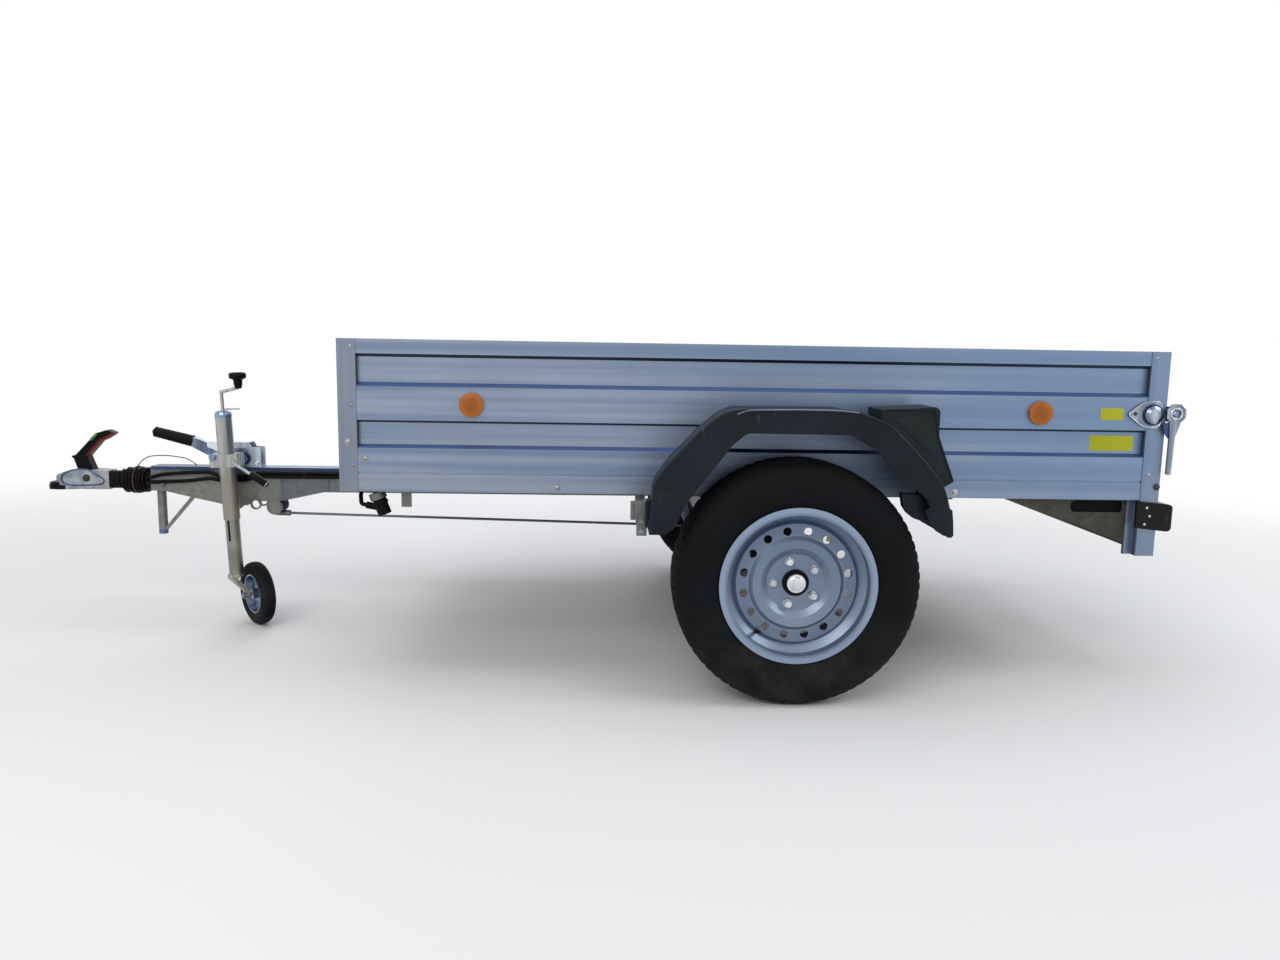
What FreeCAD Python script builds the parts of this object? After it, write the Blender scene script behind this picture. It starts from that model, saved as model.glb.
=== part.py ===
import FreeCAD, Part
import math
import os
from FreeCAD import Vector

# Utility trailer with a panelled load box, two road wheels and a jockey wheel.
# Millimetres and degrees. +X runs forward to the coupling, +Y to the left side, +Z up.
# While the pieces are made, X is counted from the wheel axis and Z from the ground.
# At the end everything is shifted so that the origin is on the ground below the middle of the length.

# Load box
box_front = 1152
box_rear = -986
box_half_width = 580
box_top = 889
wall = 25
floor_rise = 40
floor_thickness = 12
floor_gap = 7
front_post_length = 45
rear_post_length = 49
rear_post_drop = 150
post_proud = 2
post_wall = 3

# Each row of the panel's outer face: drop below the top edge, depth behind the face
panel_rows = (
    (0, 0), (37, 0), (45, 10), (109, 10), (119, 0), (205, 0), (211, 10),
    (267, 10), (276, 0), (338, 0), (338, 3), (343, 3), (343, 0), (389, 0),
)

# Side reflectors
reflector_places = (817, -653)
reflector_drop = 163
reflector_radius = 31
reflector_depth = 8

# Chassis
beam_width = 40
beam_wall = 3
cross_beam_height = 42
middle_beam_places = (598, -441)
drawbar_width = 60
drawbar_height = 76
drawbar_wall = 4
drawbar_front = 1887
drawbar_overhang = 45
side_plate_thickness = 4
side_plate_top = 31

# Road wheels
wheel_gap = 22
tyre_radius = 307
tyre_half_width = 93
rim_flange_radius = 195
rim_seat_radius = 180
rim_half_width = 80
rim_sheet = 4
wheel_offset = 30
disc_thickness = 5
dish_radius = 74
vent_count = 16
vent_radius = 10.5
vent_circle = 132
spigot_radius = 33
drum_radius = 115
drum_wall = 10
drum_half_width = 28
stub_radius = 17.5
running_clearance = 0.05
brake_gap = 6
back_plate = 6

# Axle
axle_beam_size = 70
axle_forward = 140
bracket_half_length = 80
bracket_sheet = 5
brake_tab_thickness = 10
brake_tab_drop = 46
arm_thickness = 28
arm_gap = 5

# Mudguards, their stays and the chocks
guard_margin = 10
guard_thickness = 5
guard_band = 68
chock_width = 120
stay_width = 26
stay_thickness = 4

# Jockey wheel
jockey_clamp_x = 1626
jockey_clamp_rise = 31
jockey_side = 95
jockey_lean = 2.4
outer_tube_radius = 24
outer_tube_top = 149
outer_tube_bottom = -183
inner_tube_radius = 21
inner_tube_wall = 3
inner_tube_length = 310
jockey_fork_height = 67
jockey_wheel_radius = 98
jockey_tyre_half_width = 22
jockey_rim_radius = 61
jockey_trail = 25
jockey_arm_offset = 50
jockey_arm_thickness = 6
jockey_arm_clearance = 7
jockey_swivel_rest = 132
jockey_axle_radius = 6
jockey_pin_radius = 7
seat_gap = 0.3
clamp_half_height = 20
crank_radius = 5
crank_rise = 57
crank_throw = 52

# Coupling
nose_x = 2206
coupling_rear = 2018
coupling_drop = 8
coupling_half_height = 29
coupling_half_width = 33
shank_half_width = 26
ball_setback = 56
pad_reach = 19
pad_length = 52
ball_drop = 14
ball_radius = 25
bellows_radius = 28
bellows_depth = 5
lead_radius = 5.5
lead_hole_clearance = 1
handle_half_width = 15

# Handbrake
brake_housing_front = 1713
brake_housing_half = 24
brake_housing_sheet = 4
lever_half_width = 12
brake_rod_radius = 4

# Tailgate
gate_gap = 5
gate_setback = 3
gate_rise = 15
hinge_reach = 20
hinge_pin_radius = 4
hinge_eye_radius = 8
hinge_side = 270
hinge_eye_width = 24
latch_drop = 163
latch_clear = 6

# Rear light carrier and lamps
carrier_sheet = 4
carrier_flange = 71
carrier_joint_rise = 31
gusset_front = -587
lamp_depth = 41
lamp_height = 82
lamp_inner = 430
lamp_wing = 60
lamp_wing_thickness = 8

# Sizes that follow from the ones above
box_bottom = box_top - panel_rows[-1][0]
floor_top = box_bottom + floor_rise
beam_top = floor_top - floor_thickness
beam_bottom = beam_top - cross_beam_height
drawbar_bottom = beam_bottom - drawbar_height
drawbar_half = drawbar_width / 2
plate_side = drawbar_half + side_plate_thickness
inner_half_width = box_half_width - wall
post_face = box_half_width + post_proud
post_foot = box_bottom - rear_post_drop
gate_outer = box_rear + gate_setback
gate_inner = gate_outer + wall
gate_bottom = box_bottom + gate_rise
hinge_x = box_rear - hinge_reach
hinge_z = box_bottom
axle_height = drawbar_bottom - axle_beam_size / 2
wheel_plane = box_half_width + wheel_gap + tyre_half_width
guard_outer = wheel_plane + tyre_half_width + guard_margin
brake_tab_front = axle_forward + axle_beam_size / 2 + brake_tab_thickness
brake_rod_rear_height = drawbar_bottom - axle_beam_size - 30
coupling_height = drawbar_bottom + drawbar_height / 2 - coupling_drop
latch_height = box_top - latch_drop
latch_tail = box_rear - 47
jockey_clamp_z = beam_bottom + jockey_clamp_rise
origin_shift = (nose_x + latch_tail) / 2


def flat(depth_axis, place):
    """Gives the function that puts a drawing's (u, v) point into space at one place along an axis."""
    if depth_axis == "x":
        return lambda u, v: Vector(place, u, v)
    if depth_axis == "y":
        return lambda u, v: Vector(u, place, v)
    return lambda u, v: Vector(u, v, place)


def rounded_loop(corners, radii):
    """For each (u, v) corner, where its rounding starts, its middle point and where it stops."""
    count = len(corners)
    turns = []
    for index, (u, v) in enumerate(corners):
        here = Vector(u, v, 0)
        back = Vector(*corners[index - 1], 0) - here
        ahead = Vector(*corners[(index + 1) % count], 0) - here
        radius = radii[index]
        if radius == 0:
            turns.append((here, here, here))
            continue
        half = back.getAngle(ahead) / 2
        reach = radius / math.tan(half)
        back.normalize()
        ahead.normalize()
        bisector = back + ahead
        bisector.normalize()
        middle = here + bisector * (radius / math.sin(half) - radius)
        turns.append((here + back * reach, middle, here + ahead * reach))
    return turns


def face(corners, to_space, rounding=0):
    """Makes a flat face. rounding is one radius for all corners, or one for each."""
    radii = rounding if isinstance(rounding, (list, tuple)) else [rounding] * len(corners)
    turns = rounded_loop(corners, radii)
    edges = []
    for index, (start, middle, stop) in enumerate(turns):
        if (stop - start).Length > 1e-6:
            bend = Part.Arc(to_space(start.x, start.y), to_space(middle.x, middle.y), to_space(stop.x, stop.y))
            edges.append(bend.toShape())
        following = turns[(index + 1) % len(turns)][0]
        if (following - stop).Length > 1e-6:
            edges.append(Part.makeLine(to_space(stop.x, stop.y), to_space(following.x, following.y)))
    return Part.Face(Part.Wire(edges))


def slab(corners, axis, low, high, rounding=0):
    """Extrudes a drawing along an axis from low to high."""
    direction = {"x": Vector(1, 0, 0), "y": Vector(0, 1, 0), "z": Vector(0, 0, 1)}[axis]
    return face(corners, flat(axis, low), rounding).extrude(direction * (high - low))


def block(x, y, z):
    """A box from three (low, high) pairs."""
    return Part.makeBox(x[1] - x[0], y[1] - y[0], z[1] - z[0], Vector(x[0], y[0], z[0]))


def rectangle(u, v):
    """Corners of a rectangle from two (low, high) pairs."""
    return [(u[0], v[0]), (u[1], v[0]), (u[1], v[1]), (u[0], v[1])]


def tube(axis, along, u, v, wall_thickness):
    """A rectangular tube along an axis with open ends."""
    outside = slab(rectangle(u, v), axis, *along)
    bore_u = (u[0] + wall_thickness, u[1] - wall_thickness)
    bore_v = (v[0] + wall_thickness, v[1] - wall_thickness)
    return outside.cut(slab(rectangle(bore_u, bore_v), axis, *along))


def rod(start, stop, radius):
    """A round bar between two points."""
    span = stop - start
    return Part.makeCylinder(radius, span.Length, start, span)


def cone(start, stop, first_radius, last_radius):
    """A tapered round bar between two points."""
    span = stop - start
    return Part.makeCone(first_radius, last_radius, span.Length, start, span)


def turned(profile, rounding=0):
    """Turns a (radius, side) profile about the Y axis through the origin."""
    return face(profile, flat("z", 0), rounding).revolve(Vector(0, 0, 0), Vector(0, 1, 0), 360)


def turned_upright(profile, rounding=0):
    """Turns a (radius, height) profile about the Z axis through the origin."""
    return face(profile, flat("y", 0), rounding).revolve(Vector(0, 0, 0), Vector(0, 0, 1), 360)


def turned_along(profile):
    """Turns a (radius, distance) profile about the X axis through the origin."""
    shape = turned_upright(profile)
    shape.rotate(Vector(0, 0, 0), Vector(0, 1, 0), 90)
    return shape


def joined(shapes):
    """One solid from shapes that touch or overlap."""
    whole = shapes[0].fuse(shapes[1:])
    return whole.removeSplitter()


def together(shapes):
    """Separate solids that share one node."""
    return Part.makeCompound(shapes)


def mirrored(shape):
    """The same piece for the other side of the trailer."""
    return shape.mirror(Vector(0, 0, 0), Vector(0, 1, 0))


def both_sides(shape):
    return together([shape, mirrored(shape)])


def moved(shape, x=0, y=0, z=0):
    copy = shape.copy()
    copy.translate(Vector(x, y, z))
    return copy


def cord(points, radius):
    """A round tube along straight runs joined by tangent arcs."""
    ends = [Vector(*point) for point in points]
    edges = []
    start = ends[0]
    for before, corner, after in zip(ends, ends[1:], ends[2:]):
        back = before - corner
        ahead = after - corner
        reach = 0.45 * min(back.Length, ahead.Length)
        half = back.getAngle(ahead) / 2
        back.normalize()
        ahead.normalize()
        bend = reach * math.tan(half)
        bisector = back + ahead
        bisector.normalize()
        middle = corner + bisector * (bend / math.sin(half) - bend)
        edges.append(Part.makeLine(start, corner + back * reach))
        edges.append(Part.Arc(corner + back * reach, middle, corner + ahead * reach).toShape())
        start = corner + ahead * reach
    edges.append(Part.makeLine(start, ends[-1]))
    path = Part.Wire(edges)
    section = Part.Wire(Part.makeCircle(radius, ends[0], ends[1] - ends[0]))
    return path.makePipeShell([section], True, True)


def panel_drawing():
    """Section of a wall panel: u is outward from its outer face, v is height."""
    corners = [(-depth, box_top - drop) for drop, depth in panel_rows]
    return [(-wall, box_bottom), (-wall, box_top)] + corners


def side_panel():
    ends = (box_rear + rear_post_length, box_front - front_post_length)
    drawing = [(box_half_width + u, v) for u, v in panel_drawing()]
    return slab(drawing, "x", *ends)


def front_panel():
    drawing = [(box_front + u, v) for u, v in panel_drawing()]
    return slab(drawing, "y", -inner_half_width, inner_half_width)


def corner_post(x, foot):
    """An upright hollow post whose outer faces stand proud of the panels."""
    return tube("z", (foot, box_top), x, (inner_half_width, post_face), post_wall)


def front_post():
    return corner_post((box_front - front_post_length, box_front + post_proud), box_bottom)


def rear_post():
    return corner_post((box_rear, box_rear + rear_post_length), post_foot)


def floor_board():
    x = (gate_inner + floor_gap, box_front - wall)
    y = (-inner_half_width, inner_half_width)
    return block(x, y, (beam_top, floor_top))


def side_beam():
    x = (box_rear + rear_post_length, box_front - front_post_length)
    y = (inner_half_width - beam_width, inner_half_width)
    return tube("x", x, y, (box_bottom, beam_top), beam_wall)


def cross_beam_places():
    """Middles of the four cross beams from front to rear."""
    first = box_front - wall - beam_width
    last = box_rear + rear_post_length + beam_width / 2
    return (first, *middle_beam_places, last)


def cross_beam(place):
    """A channel across the trailer, open to the rear."""
    half = beam_width / 2
    reach = inner_half_width - beam_width
    whole = block((place - half, place + half), (-reach, reach), (beam_bottom, beam_top))
    hollow = block(
        (place - half, place + half - beam_wall),
        (-reach, reach),
        (beam_bottom + beam_wall, beam_top - beam_wall),
    )
    return whole.cut(hollow)


def drawbar():
    rear = axle_forward - drawbar_overhang
    y = (-drawbar_half, drawbar_half)
    whole = tube("x", (rear, drawbar_front), y, (drawbar_bottom, beam_bottom), drawbar_wall)
    start, end = loom_route()[-2:]
    return whole.cut(rod(Vector(*start), Vector(*end), lead_radius + lead_hole_clearance))


# Lower edge of the drawbar's side plates: distance behind the drawbar's front end, drop below the drawbar
side_plate_edge = ((0, 0), (40, 0), (134, 22), (205, 37), (262, 54), (272, 54), (300, 31), (404, 28))
# The thinner rear plates carry on from there
rear_plate_edge = ((404, 28), (548, -4))
# The relay lever's lug and the eye below the plates: distance behind the drawbar's front end, drop, radius
relay_lug = (377, 48, 24)
plate_eye = (321, 39, 17)


def side_plates():
    """A plate on each side of the drawbar, deeper below the handbrake, and its tapered rear plate."""
    top = drawbar_bottom + drawbar_height - side_plate_top
    front = [(drawbar_front - back, drawbar_bottom - drop) for back, drop in side_plate_edge]
    rear = [(drawbar_front - back, drawbar_bottom - drop) for back, drop in rear_plate_edge]
    split = front[-1][0]
    outline = [(drawbar_front, top)] + front + [(split, top)]
    plate = slab(outline, "y", drawbar_half, plate_side, (4, 6, 30, 40, 60, 5, 5, 12, 6, 0))
    taper = slab([(split, top)] + rear + [(rear[-1][0], top)], "y", drawbar_half, plate_side - 1)
    back, drop, radius = relay_lug
    lug = rod(
        Vector(drawbar_front - back, drawbar_half, drawbar_bottom - drop),
        Vector(drawbar_front - back, plate_side, drawbar_bottom - drop), radius,
    )
    back, drop, radius = plate_eye
    eye_start = Vector(drawbar_front - back, drawbar_half, drawbar_bottom - drop)
    eye_end = eye_start + Vector(0, 2 * side_plate_thickness, 0)
    whole = joined([plate, taper, lug, rod(eye_start, eye_end, radius)])
    return both_sides(whole.cut(rod(eye_start, eye_end, radius - 5)))


def wheel_tyre():
    half = tyre_half_width
    bead = rim_seat_radius + running_clearance
    outer_half = (
        (bead, rim_half_width - 5.5), (rim_flange_radius + 2, rim_half_width - 4.5),
        (rim_flange_radius + 32, half), (tyre_radius - 21, half - 6), (tyre_radius, half - 40),
    )
    profile = list(outer_half)
    profile += [(radius, -side) for radius, side in reversed(outer_half)]
    profile += [(bead, 18 - rim_half_width), (tyre_radius - 13, 33 - half)]
    profile += [(tyre_radius - 13, half - 33), (bead, rim_half_width - 18)]
    return turned(profile)


def wheel_rim():
    """Well-base rim with a pressed disc, vent holes and a centre bore."""
    half = rim_half_width
    seat = rim_seat_radius
    well = seat - 20
    barrel = turned((
        (rim_flange_radius, half), (rim_flange_radius, half - rim_sheet), (seat, half - 5),
        (seat, 50), (well, 34), (well, -36), (seat, -52), (seat, 5 - half),
        (rim_flange_radius, rim_sheet - half), (rim_flange_radius, -half), (seat - rim_sheet, -half),
        (seat - rim_sheet, -53), (well - rim_sheet, -37), (well - rim_sheet, 35),
        (seat - rim_sheet, 51), (seat - rim_sheet, half),
    ))
    back = wheel_offset
    front = wheel_offset + disc_thickness
    edge = well - rim_sheet / 2
    ring = vent_circle - vent_radius - 4
    field = vent_circle + vent_radius + 5
    disc = turned((
        (spigot_radius, back), (dish_radius, back), (dish_radius + 16, back + 12), (ring - 9, back + 16),
        (ring, back + 8), (field, back + 8), (edge, back), (edge, front), (field + 2, front + 8),
        (ring + 1, front + 8), (ring - 8, front + 16), (dish_radius + 14, front + 12),
        (dish_radius - 2, front), (spigot_radius, front),
    ))
    for index in range(vent_count):
        angle = math.radians((index + 0.5) * 360 / vent_count)
        x = vent_circle * math.cos(angle)
        z = vent_circle * math.sin(angle)
        disc = disc.cut(rod(Vector(x, back, z), Vector(x, front + 20, z), vent_radius))
    return joined([barrel, disc])


def wheel_drum():
    """Brake drum with its hub, the spigot that centres the rim and the dust cap."""
    inner = drum_radius - drum_wall
    bore = stub_radius + running_clearance
    face_side = wheel_offset
    profile = (
        (bore, -20), (38, -20), (38, face_side - 12), (inner, face_side - 12), (inner, -drum_half_width),
        (drum_radius, -drum_half_width), (drum_radius, face_side - 6), (drum_radius - 6, face_side),
        (spigot_radius, face_side), (spigot_radius, face_side + 8), (24, face_side + 8),
        (24, face_side + 18), (20, face_side + 21), (0, face_side + 21), (0, face_side - 8), (bore, face_side - 8),
    )
    return turned(profile)


def axle_arm():
    """Trailing arm, back plate and stub shaft of the left side, in trailer coordinates."""
    inner = inner_half_width + arm_gap
    outer = inner + arm_thickness
    pivot = Vector(axle_forward, inner, axle_height)
    hub = Vector(0, inner, tyre_radius)
    reach = Vector(0, arm_thickness, 0)
    lean = math.atan2(axle_height - tyre_radius, axle_forward)
    rise = Vector(-math.sin(lean), 0, math.cos(lean))
    corners = [(pivot + rise * 30), (hub + rise * 26), (hub - rise * 26), (pivot - rise * 30)]
    web = slab([(corner.x, corner.z) for corner in corners], "y", inner, outer)
    plate_inner = wheel_plane - drum_half_width - brake_gap - back_plate
    plate_outer = plate_inner + back_plate
    stub_end = wheel_plane + wheel_offset - 10
    return joined([
        web,
        rod(pivot, pivot + reach, 34),
        rod(hub, hub + reach, 32),
        rod(Vector(axle_forward, inner_half_width, axle_height), pivot, 22),
        rod(hub, Vector(0, plate_inner, tyre_radius), 30),
        rod(Vector(0, plate_inner, tyre_radius), Vector(0, plate_outer, tyre_radius), drum_radius - 2),
        rod(Vector(0, plate_outer, tyre_radius), Vector(0, stub_end, tyre_radius), stub_radius),
    ])


def axle_beam():
    """Square axle tube with closed ends and the brackets that carry the side beams."""
    half = axle_beam_size / 2
    x = (axle_forward - half, axle_forward + half)
    z = (axle_height - half, axle_height + half)
    beam = block(x, (-inner_half_width, inner_half_width), z)
    brake_tab = block((x[1], brake_tab_front), (-22, 22), (z[0] - brake_tab_drop, z[0] + 30))
    outline = (
        (axle_forward - bracket_half_length, box_bottom), (axle_forward - half, drawbar_bottom),
        (axle_forward + half, drawbar_bottom), (axle_forward + bracket_half_length, box_bottom),
    )
    middle = inner_half_width - beam_width / 2
    shapes = [beam, brake_tab]
    for side in (-1, 1):
        for shift in (-14, 9):
            low = side * middle + shift
            shapes.append(slab(outline, "y", low, low + bracket_sheet))
        shapes.append(block(
            (axle_forward - bracket_half_length, axle_forward + bracket_half_length),
            (side * middle - 18, side * middle + 18),
            (box_bottom - bracket_sheet, box_bottom),
        ))
    return joined(shapes)


# Corners of the mudguard's raised outer band: direction from the wheel's axis in degrees,
# distance outside the tyre, rounding
guard_roof = (
    (19.4, 84, 0), (34.2, 130, 30), (41, 136, 40), (57, 151, 60), (65, 161, 40), (70, 152, 30),
    (105, 139, 50), (117, 141, 60), (141, 117, 40), (150, 99, 30), (160.2, 77, 0),
)
# Its lower roof between the band and the box, the same way
guard_low_roof = (
    (19.4, 84, 0), (34.2, 116, 30), (41, 120, 40), (57, 133, 60), (65, 146, 40), (70, 147, 30),
    (105, 136, 50), (117, 136, 60), (141, 112, 40), (150, 94, 30), (160.2, 77, 0),
)
# Lower edge of its outer skirt, the same way
guard_skirt = (
    (159.7, 67, 0), (148.6, 47, 14), (144.4, 66, 20), (127.8, 52, 20), (116.7, 71, 20), (105.4, 81, 30),
    (69.3, 94, 30), (63.2, 81, 30), (30.9, 44, 20), (21.7, 48, 0),
)
# Wheel chock parked on the rear slope, the same way
chock_corners = (
    (113.5, 164, 0), (126.3, 239, 6), (127.6, 237, 6), (132.1, 189, 30), (145.4, 149, 4),
    (144.6, 96, 0), (117.6, 110, 0),
)


def around_tyre(rows):
    """Puts (direction, distance, rounding) rows into (x, z) corners and their roundings."""
    corners = []
    for direction, distance, rounding in rows:
        angle = math.radians(direction)
        radius = tyre_radius + distance
        corners.append((radius * math.cos(angle), tyre_radius + radius * math.sin(angle)))
    return corners, [row[2] for row in rows]


def guard_solid(rows, low, high, shrink=0):
    """The closed form under a roof between two sides, set in by the sheet's thickness."""
    corners, radii = around_tyre(rows)
    drawing = face(corners, flat("y", low), radii)
    if shrink:
        drawing = Part.Face(drawing.OuterWire.makeOffset2D(-shrink))
    return drawing.extrude(Vector(0, high - low, 0))


def guard_outside():
    """The mudguard's outer form: the raised band and the lower roof up to the box."""
    step = guard_outer - guard_band
    return joined([
        guard_solid(guard_roof, step, guard_outer), guard_solid(guard_low_roof, box_half_width, step),
    ])


def mudguard():
    """Moulded guard: a roof over the tyre, a skirt outside it, open at the box's side and below."""
    sheet = guard_thickness
    step = guard_outer - guard_band + sheet
    hollow = joined([
        guard_solid(guard_roof, step, guard_outer - sheet, sheet),
        guard_solid(guard_low_roof, box_half_width, step, sheet),
    ])
    roof = around_tyre(guard_roof)[0]
    corners, radii = around_tyre(guard_skirt)
    front = roof[0]
    rear = roof[-1]
    depth = front[1] - tyre_radius
    below = corners + [(front[0] + depth, tyre_radius), (rear[0] - depth, tyre_radius)]
    opening = slab(below, "y", box_half_width, guard_outer, radii + [0, 0])
    bottom = block(
        (rear[0] + sheet + 1, front[0] - sheet - 1),
        (box_half_width, guard_outer - sheet),
        (tyre_radius, front[1] + 3 * sheet),
    )
    return guard_outside().cut(hollow).cut(opening).cut(bottom)


def guard_stay():
    """Flat bar from below the side beam that holds the mudguard's front foot."""
    front = around_tyre(guard_roof)[0][0]
    x = (front[0] + 1, front[0] + 1 + stay_width)
    z = front[1]
    edge = inner_half_width - 2
    reach = wheel_plane + 5
    drop = block(x, (edge - stay_thickness, edge), (z, box_bottom))
    arm = block(x, (edge - stay_thickness, reach), (z, z + stay_thickness))
    end = block(x, (reach - stay_thickness, reach), (z - 22, z + 28))
    clip = block((x[0], x[0] + stay_thickness), (reach - 20, reach), (z - 22, z + 28))
    return joined([drop, arm, end, clip])


def chock():
    """Wheel chock parked on the mudguard's rear slope, hollow side down."""
    corners, radii = around_tyre(chock_corners)
    middle = (box_half_width + guard_outer) / 2
    low = middle - chock_width / 2
    wedge = slab(corners, "y", low, low + chock_width, radii)
    return wedge.cut(guard_outside())


def reflectors():
    """Round reflectors, two on each side panel."""
    discs = []
    z = box_top - reflector_drop
    for x in reflector_places:
        back = Vector(x, box_half_width, z)
        discs.append(rod(back, back + Vector(0, reflector_depth, 0), reflector_radius))
    return both_sides(together(discs))


def light_carrier():
    """Rear cross plate between the posts, with side flanges and a slotted gusset on each side."""
    rear = box_rear
    top = box_bottom - 3
    plate = block((rear, rear + carrier_sheet), (-inner_half_width, inner_half_width), (post_foot, top))
    flange_front = rear + carrier_flange
    joint = post_foot + carrier_joint_rise
    shapes = [plate]
    side = (inner_half_width - carrier_sheet, inner_half_width)
    web = slab(
        ((gusset_front, box_bottom), (rear, box_bottom), (rear, post_foot), (flange_front, post_foot),
         (flange_front, joint)),
        "y", *side,
    )
    slot = slab(
        rectangle((flange_front + 10, flange_front + 150), (box_bottom - 38, box_bottom - 6)),
        "y", side[0], side[1], (10, 14, 14, 10),
    )
    lip = slab(
        ((gusset_front, box_bottom), (flange_front, joint), (flange_front, joint + carrier_sheet),
         (gusset_front - 11, box_bottom)),
        "y", inner_half_width - 28, inner_half_width,
    )
    half = joined([web.cut(slot), lip])
    shapes += [half, mirrored(half)]
    return joined(shapes)


def tail_lamp():
    """Moulded lamp housing behind the rear post, with a wing that wraps round the post's outer face."""
    top = box_bottom - 2
    low = top - lamp_height
    wing = post_face + lamp_wing_thickness
    rear = box_rear - lamp_depth
    plan = (
        (rear, lamp_inner), (box_rear, lamp_inner), (box_rear, post_face),
        (box_rear + lamp_wing, post_face), (box_rear + lamp_wing, wing), (rear, wing),
    )
    housing = slab(plan, "z", low, top, (6, 0, 0, 0, 2, 10))
    side_view = (
        (box_rear + lamp_wing, top), (rear, top - 9), (rear, low), (box_rear + lamp_wing, low + 11),
    )
    return housing.common(slab(side_view, "y", lamp_inner, wing, (4, 18, 18, 4)))


def latch_keeper():
    """Leaf-shaped base plate on the panel and rear post, with the latch's dome."""
    dome_x = box_rear + 36
    z = latch_height
    plate = slab(
        ((box_rear + 102, z + 1), (box_rear + 62, z + 33), (box_rear + 20, z + 34), (box_rear + 12, z + 12),
         (box_rear + 12, z - 12), (box_rear + 20, z - 33), (box_rear + 62, z - 31)),
        "y", post_face, post_face + 3, (8, 30, 10, 6, 6, 10, 30),
    )
    dome = turned(((0, 3), (24, 3), (23, 9), (15, 14), (0, 16)))
    return joined([plate, moved(dome, dome_x, post_face, z)])


def gate_latch():
    """Ring bracket and hanging lever on the tailgate, beside the rear post."""
    z = latch_height + 4
    near = post_face + latch_clear
    rear = box_rear - latch_clear
    leg = slab(
        ((gate_outer, 470), (gate_outer, 535), (rear, 541), (rear, near + 8), (rear - 6, near + 8), (rear - 6, 470)),
        "z", z - 22, z + 18,
    )
    middle_x = box_rear - 20
    ring_radius = 27
    octagon = []
    for corner in range(8):
        angle = math.radians(22.5 + 45 * corner)
        octagon.append((middle_x + ring_radius * math.cos(angle), z + ring_radius * math.sin(angle)))
    ring = slab(octagon, "y", near, near + 8, 3)
    hole = rod(Vector(middle_x, near, z), Vector(middle_x, near + 8, z), 11)
    hook = slab(((middle_x - 20, z + 6), (middle_x - 27, z - 2), (middle_x - 20, z - 8)), "y", near + 2, near + 8)
    lever = slab(
        ((rear + 3, z - 18), (rear - 26, z - 22), (rear - 14, z - 60), (rear - 12, z - 160),
         (rear + 1, z - 160), (rear + 1, z - 60)),
        "y", near + 4, near + 10, (4, 4, 20, 4, 4, 20),
    )
    return joined([leg, ring, hook, lever]).cut(hole)


def gate_panel():
    """The tailgate's board with the same rolled face as the walls."""
    half = inner_half_width - gate_gap
    drawing = []
    for drop, depth in panel_rows:
        if box_top - drop > gate_bottom:
            drawing.append((gate_outer + depth, box_top - drop))
    drawing += [(gate_outer, gate_bottom), (gate_inner, gate_bottom), (gate_inner, box_top)]
    return slab(drawing, "y", -half, half)


def eye(low, width, radius):
    """A round bar along the tailgate's hinge axis."""
    return rod(Vector(hinge_x, low, hinge_z), Vector(hinge_x, low + width, hinge_z), radius)


def gate_hinges():
    """Hinge leaves with their eyes, on the tailgate's outer face."""
    leaves = []
    for side in (-hinge_side, hinge_side):
        leaf = block((gate_outer - 5, gate_outer), (side - 45, side + 45), (gate_bottom, gate_bottom + 60))
        for offset in (-1, 1):
            low = side + offset * (hinge_eye_width + 1) - hinge_eye_width / 2
            arm_outline = (
                (hinge_x - 6, hinge_z + 3), (hinge_x + 6, hinge_z - 3),
                (gate_outer, gate_bottom), (gate_outer, gate_bottom + 14), (gate_outer - 8, gate_bottom + 14),
            )
            arm = slab(arm_outline, "y", low, low + hinge_eye_width)
            leaf = leaf.fuse([eye(low, hinge_eye_width, hinge_eye_radius), arm])
        bore = eye(side - 2.5 * hinge_eye_width, 5 * hinge_eye_width, hinge_pin_radius + running_clearance)
        leaves.append(leaf.cut(bore).removeSplitter())
    return together(leaves)


def hinge_carriers():
    """Fixed hinge eyes with their pins, bolted to the light carrier's rear face."""
    carriers = []
    for side in (-hinge_side, hinge_side):
        low = side - hinge_eye_width / 2
        outline = (
            (hinge_x - 7, hinge_z), (hinge_x + 3, hinge_z), (box_rear, hinge_z - 12),
            (box_rear, hinge_z - 70), (box_rear - 5, hinge_z - 70),
        )
        carriers.append(joined([
            slab(outline, "y", low, low + hinge_eye_width),
            eye(low, hinge_eye_width, hinge_eye_radius),
            eye(side - 38, 76, hinge_pin_radius),
        ]))
    return together(carriers)


def ball_centre():
    return Vector(nose_x - ball_setback, 0, coupling_height - ball_drop)


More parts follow.
